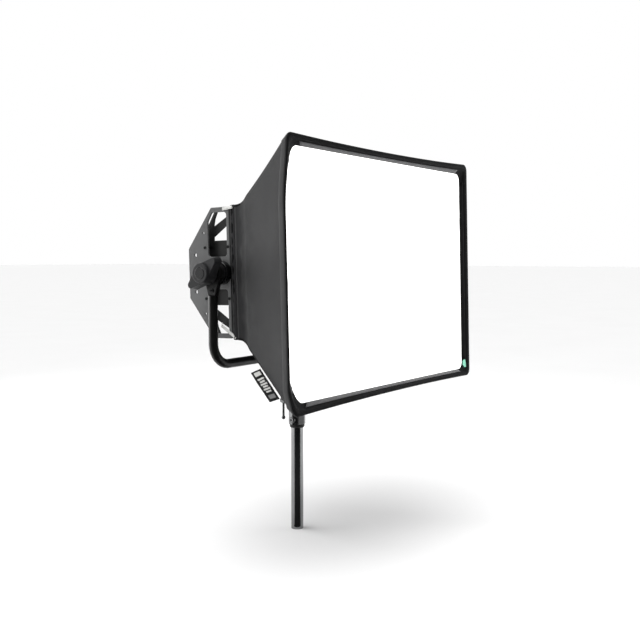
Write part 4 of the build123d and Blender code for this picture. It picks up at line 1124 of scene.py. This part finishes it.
def build_floor():
    """Pale floor that runs out beyond the view."""
    corners = [(x * FLOOR_REACH, y * FLOOR_REACH, 0) for x, y in ((-1, -1), (1, -1), (1, 1), (-1, 1))]
    add_object("stage_floor", corners, [(0, 1, 2, 3)], plain("floor_paper", 0.95))


def build_card():
    """Black card beside the camera and on the floor before it, seen only as the dark in reflections."""
    side = Vector((-CAMERA_SIDE.y, CAMERA_SIDE.x, 0.0))
    near, far = (
        [CARD_START + CAMERA_SIDE * out + side * across for across in (left, right)]
        for out, left, right in (CARD_START_OFFSETS, CARD_OFFSETS)
    )
    top = [corner + CARD_HEIGHT for corner in far]
    faces = [(0, 1, 3, 2), (2, 3, 5, 4)]
    card = add_object("black_card", near + far + top, faces, plain("black_card", 0.004))
    card.visible_camera = card.visible_diffuse = card.visible_shadow = card.visible_transmission = False


build_floor()
build_card()


# ---- light ----
WORLD_FAR, WORLD_NEAR = 0.25, 0.04  # strength as a light, behind the object and on the camera's side


def build_world():
    """White studio sweep that lights the object dimly, least from the side the camera is on."""
    world = bpy.data.worlds.new("studio")
    world.use_nodes = True
    nodes, links = world.node_tree.nodes, world.node_tree.links
    coords = nodes.new("ShaderNodeTexCoord")
    facing = nodes.new("ShaderNodeVectorMath")
    facing.operation = "DOT_PRODUCT"
    facing.inputs[1].default_value = CAMERA_SIDE
    spread = nodes.new("ShaderNodeMapRange")
    limits = (("From Min", -1.0), ("From Max", 1.0), ("To Min", WORLD_FAR), ("To Max", WORLD_NEAR))
    for socket, value in limits:
        spread.inputs[socket].default_value = value
    seen = nodes.new("ShaderNodeLightPath")
    strength = nodes.new("ShaderNodeMix")
    strength.data_type = "FLOAT"
    strength.inputs[3].default_value = 1.0
    links.new(coords.outputs["Generated"], facing.inputs[0])
    links.new(facing.outputs["Value"], spread.inputs["Value"])
    links.new(spread.outputs["Result"], strength.inputs[2])
    links.new(seen.outputs["Is Camera Ray"], strength.inputs[0])
    links.new(strength.outputs[0], nodes["Background"].inputs["Strength"])
    nodes["Background"].inputs["Color"].default_value = (1.0, 1.0, 1.0, 1.0)
    bpy.context.scene.world = world
    bpy.context.scene.view_settings.view_transform = "Standard"


def place_lamp(light, azimuth, elevation, distance):
    """Puts a light at a distance from the tilt axis, looking at it."""
    way = direction(azimuth, elevation)
    lamp = bpy.data.objects.new(light.name, light)
    lamp.location = TILT_AXIS + way * distance
    lamp.rotation_mode = "QUATERNION"
    lamp.rotation_quaternion = (-way).to_track_quat("-Z", "Y")
    lamp.visible_camera = False
    bpy.context.scene.collection.objects.link(lamp)


def area_light(name, azimuth, elevation, distance, size, power):
    light = bpy.data.lights.new(name, "AREA")
    light.shape = "RECTANGLE"
    light.size, light.size_y = size
    light.energy = power
    place_lamp(light, azimuth, elevation, distance)


build_world()
sky = bpy.data.lights.new("sky_soft", "SUN")
sky.angle = radians(70.0)
sky.energy = 3.05
place_lamp(sky, -80.0, 68.0, 5.0)
area_light("bank_left", -162.0, 6.0, 2.6, (2.6, 2.2), 55.0)
area_light("bank_right", 50.0, 6.0, 2.6, (2.0, 2.2), 26.0)


# ---- camera ----
CAMERA_WAY = direction(-56.09, 3.95)
CAMERA_OFFSET = Vector((-1.9605, -1.3903, 0.0390))  # from the tilt axis
camera_data = bpy.data.cameras.new("camera")
camera_data.lens = 52.05
camera_data.sensor_width = 36.0
camera = bpy.data.objects.new("camera", camera_data)
camera.location = TILT_AXIS + CAMERA_OFFSET
camera.rotation_mode = "QUATERNION"
camera.rotation_quaternion = (-CAMERA_WAY).to_track_quat("-Z", "Y")
bpy.context.scene.collection.objects.link(camera)
bpy.context.scene.camera = camera
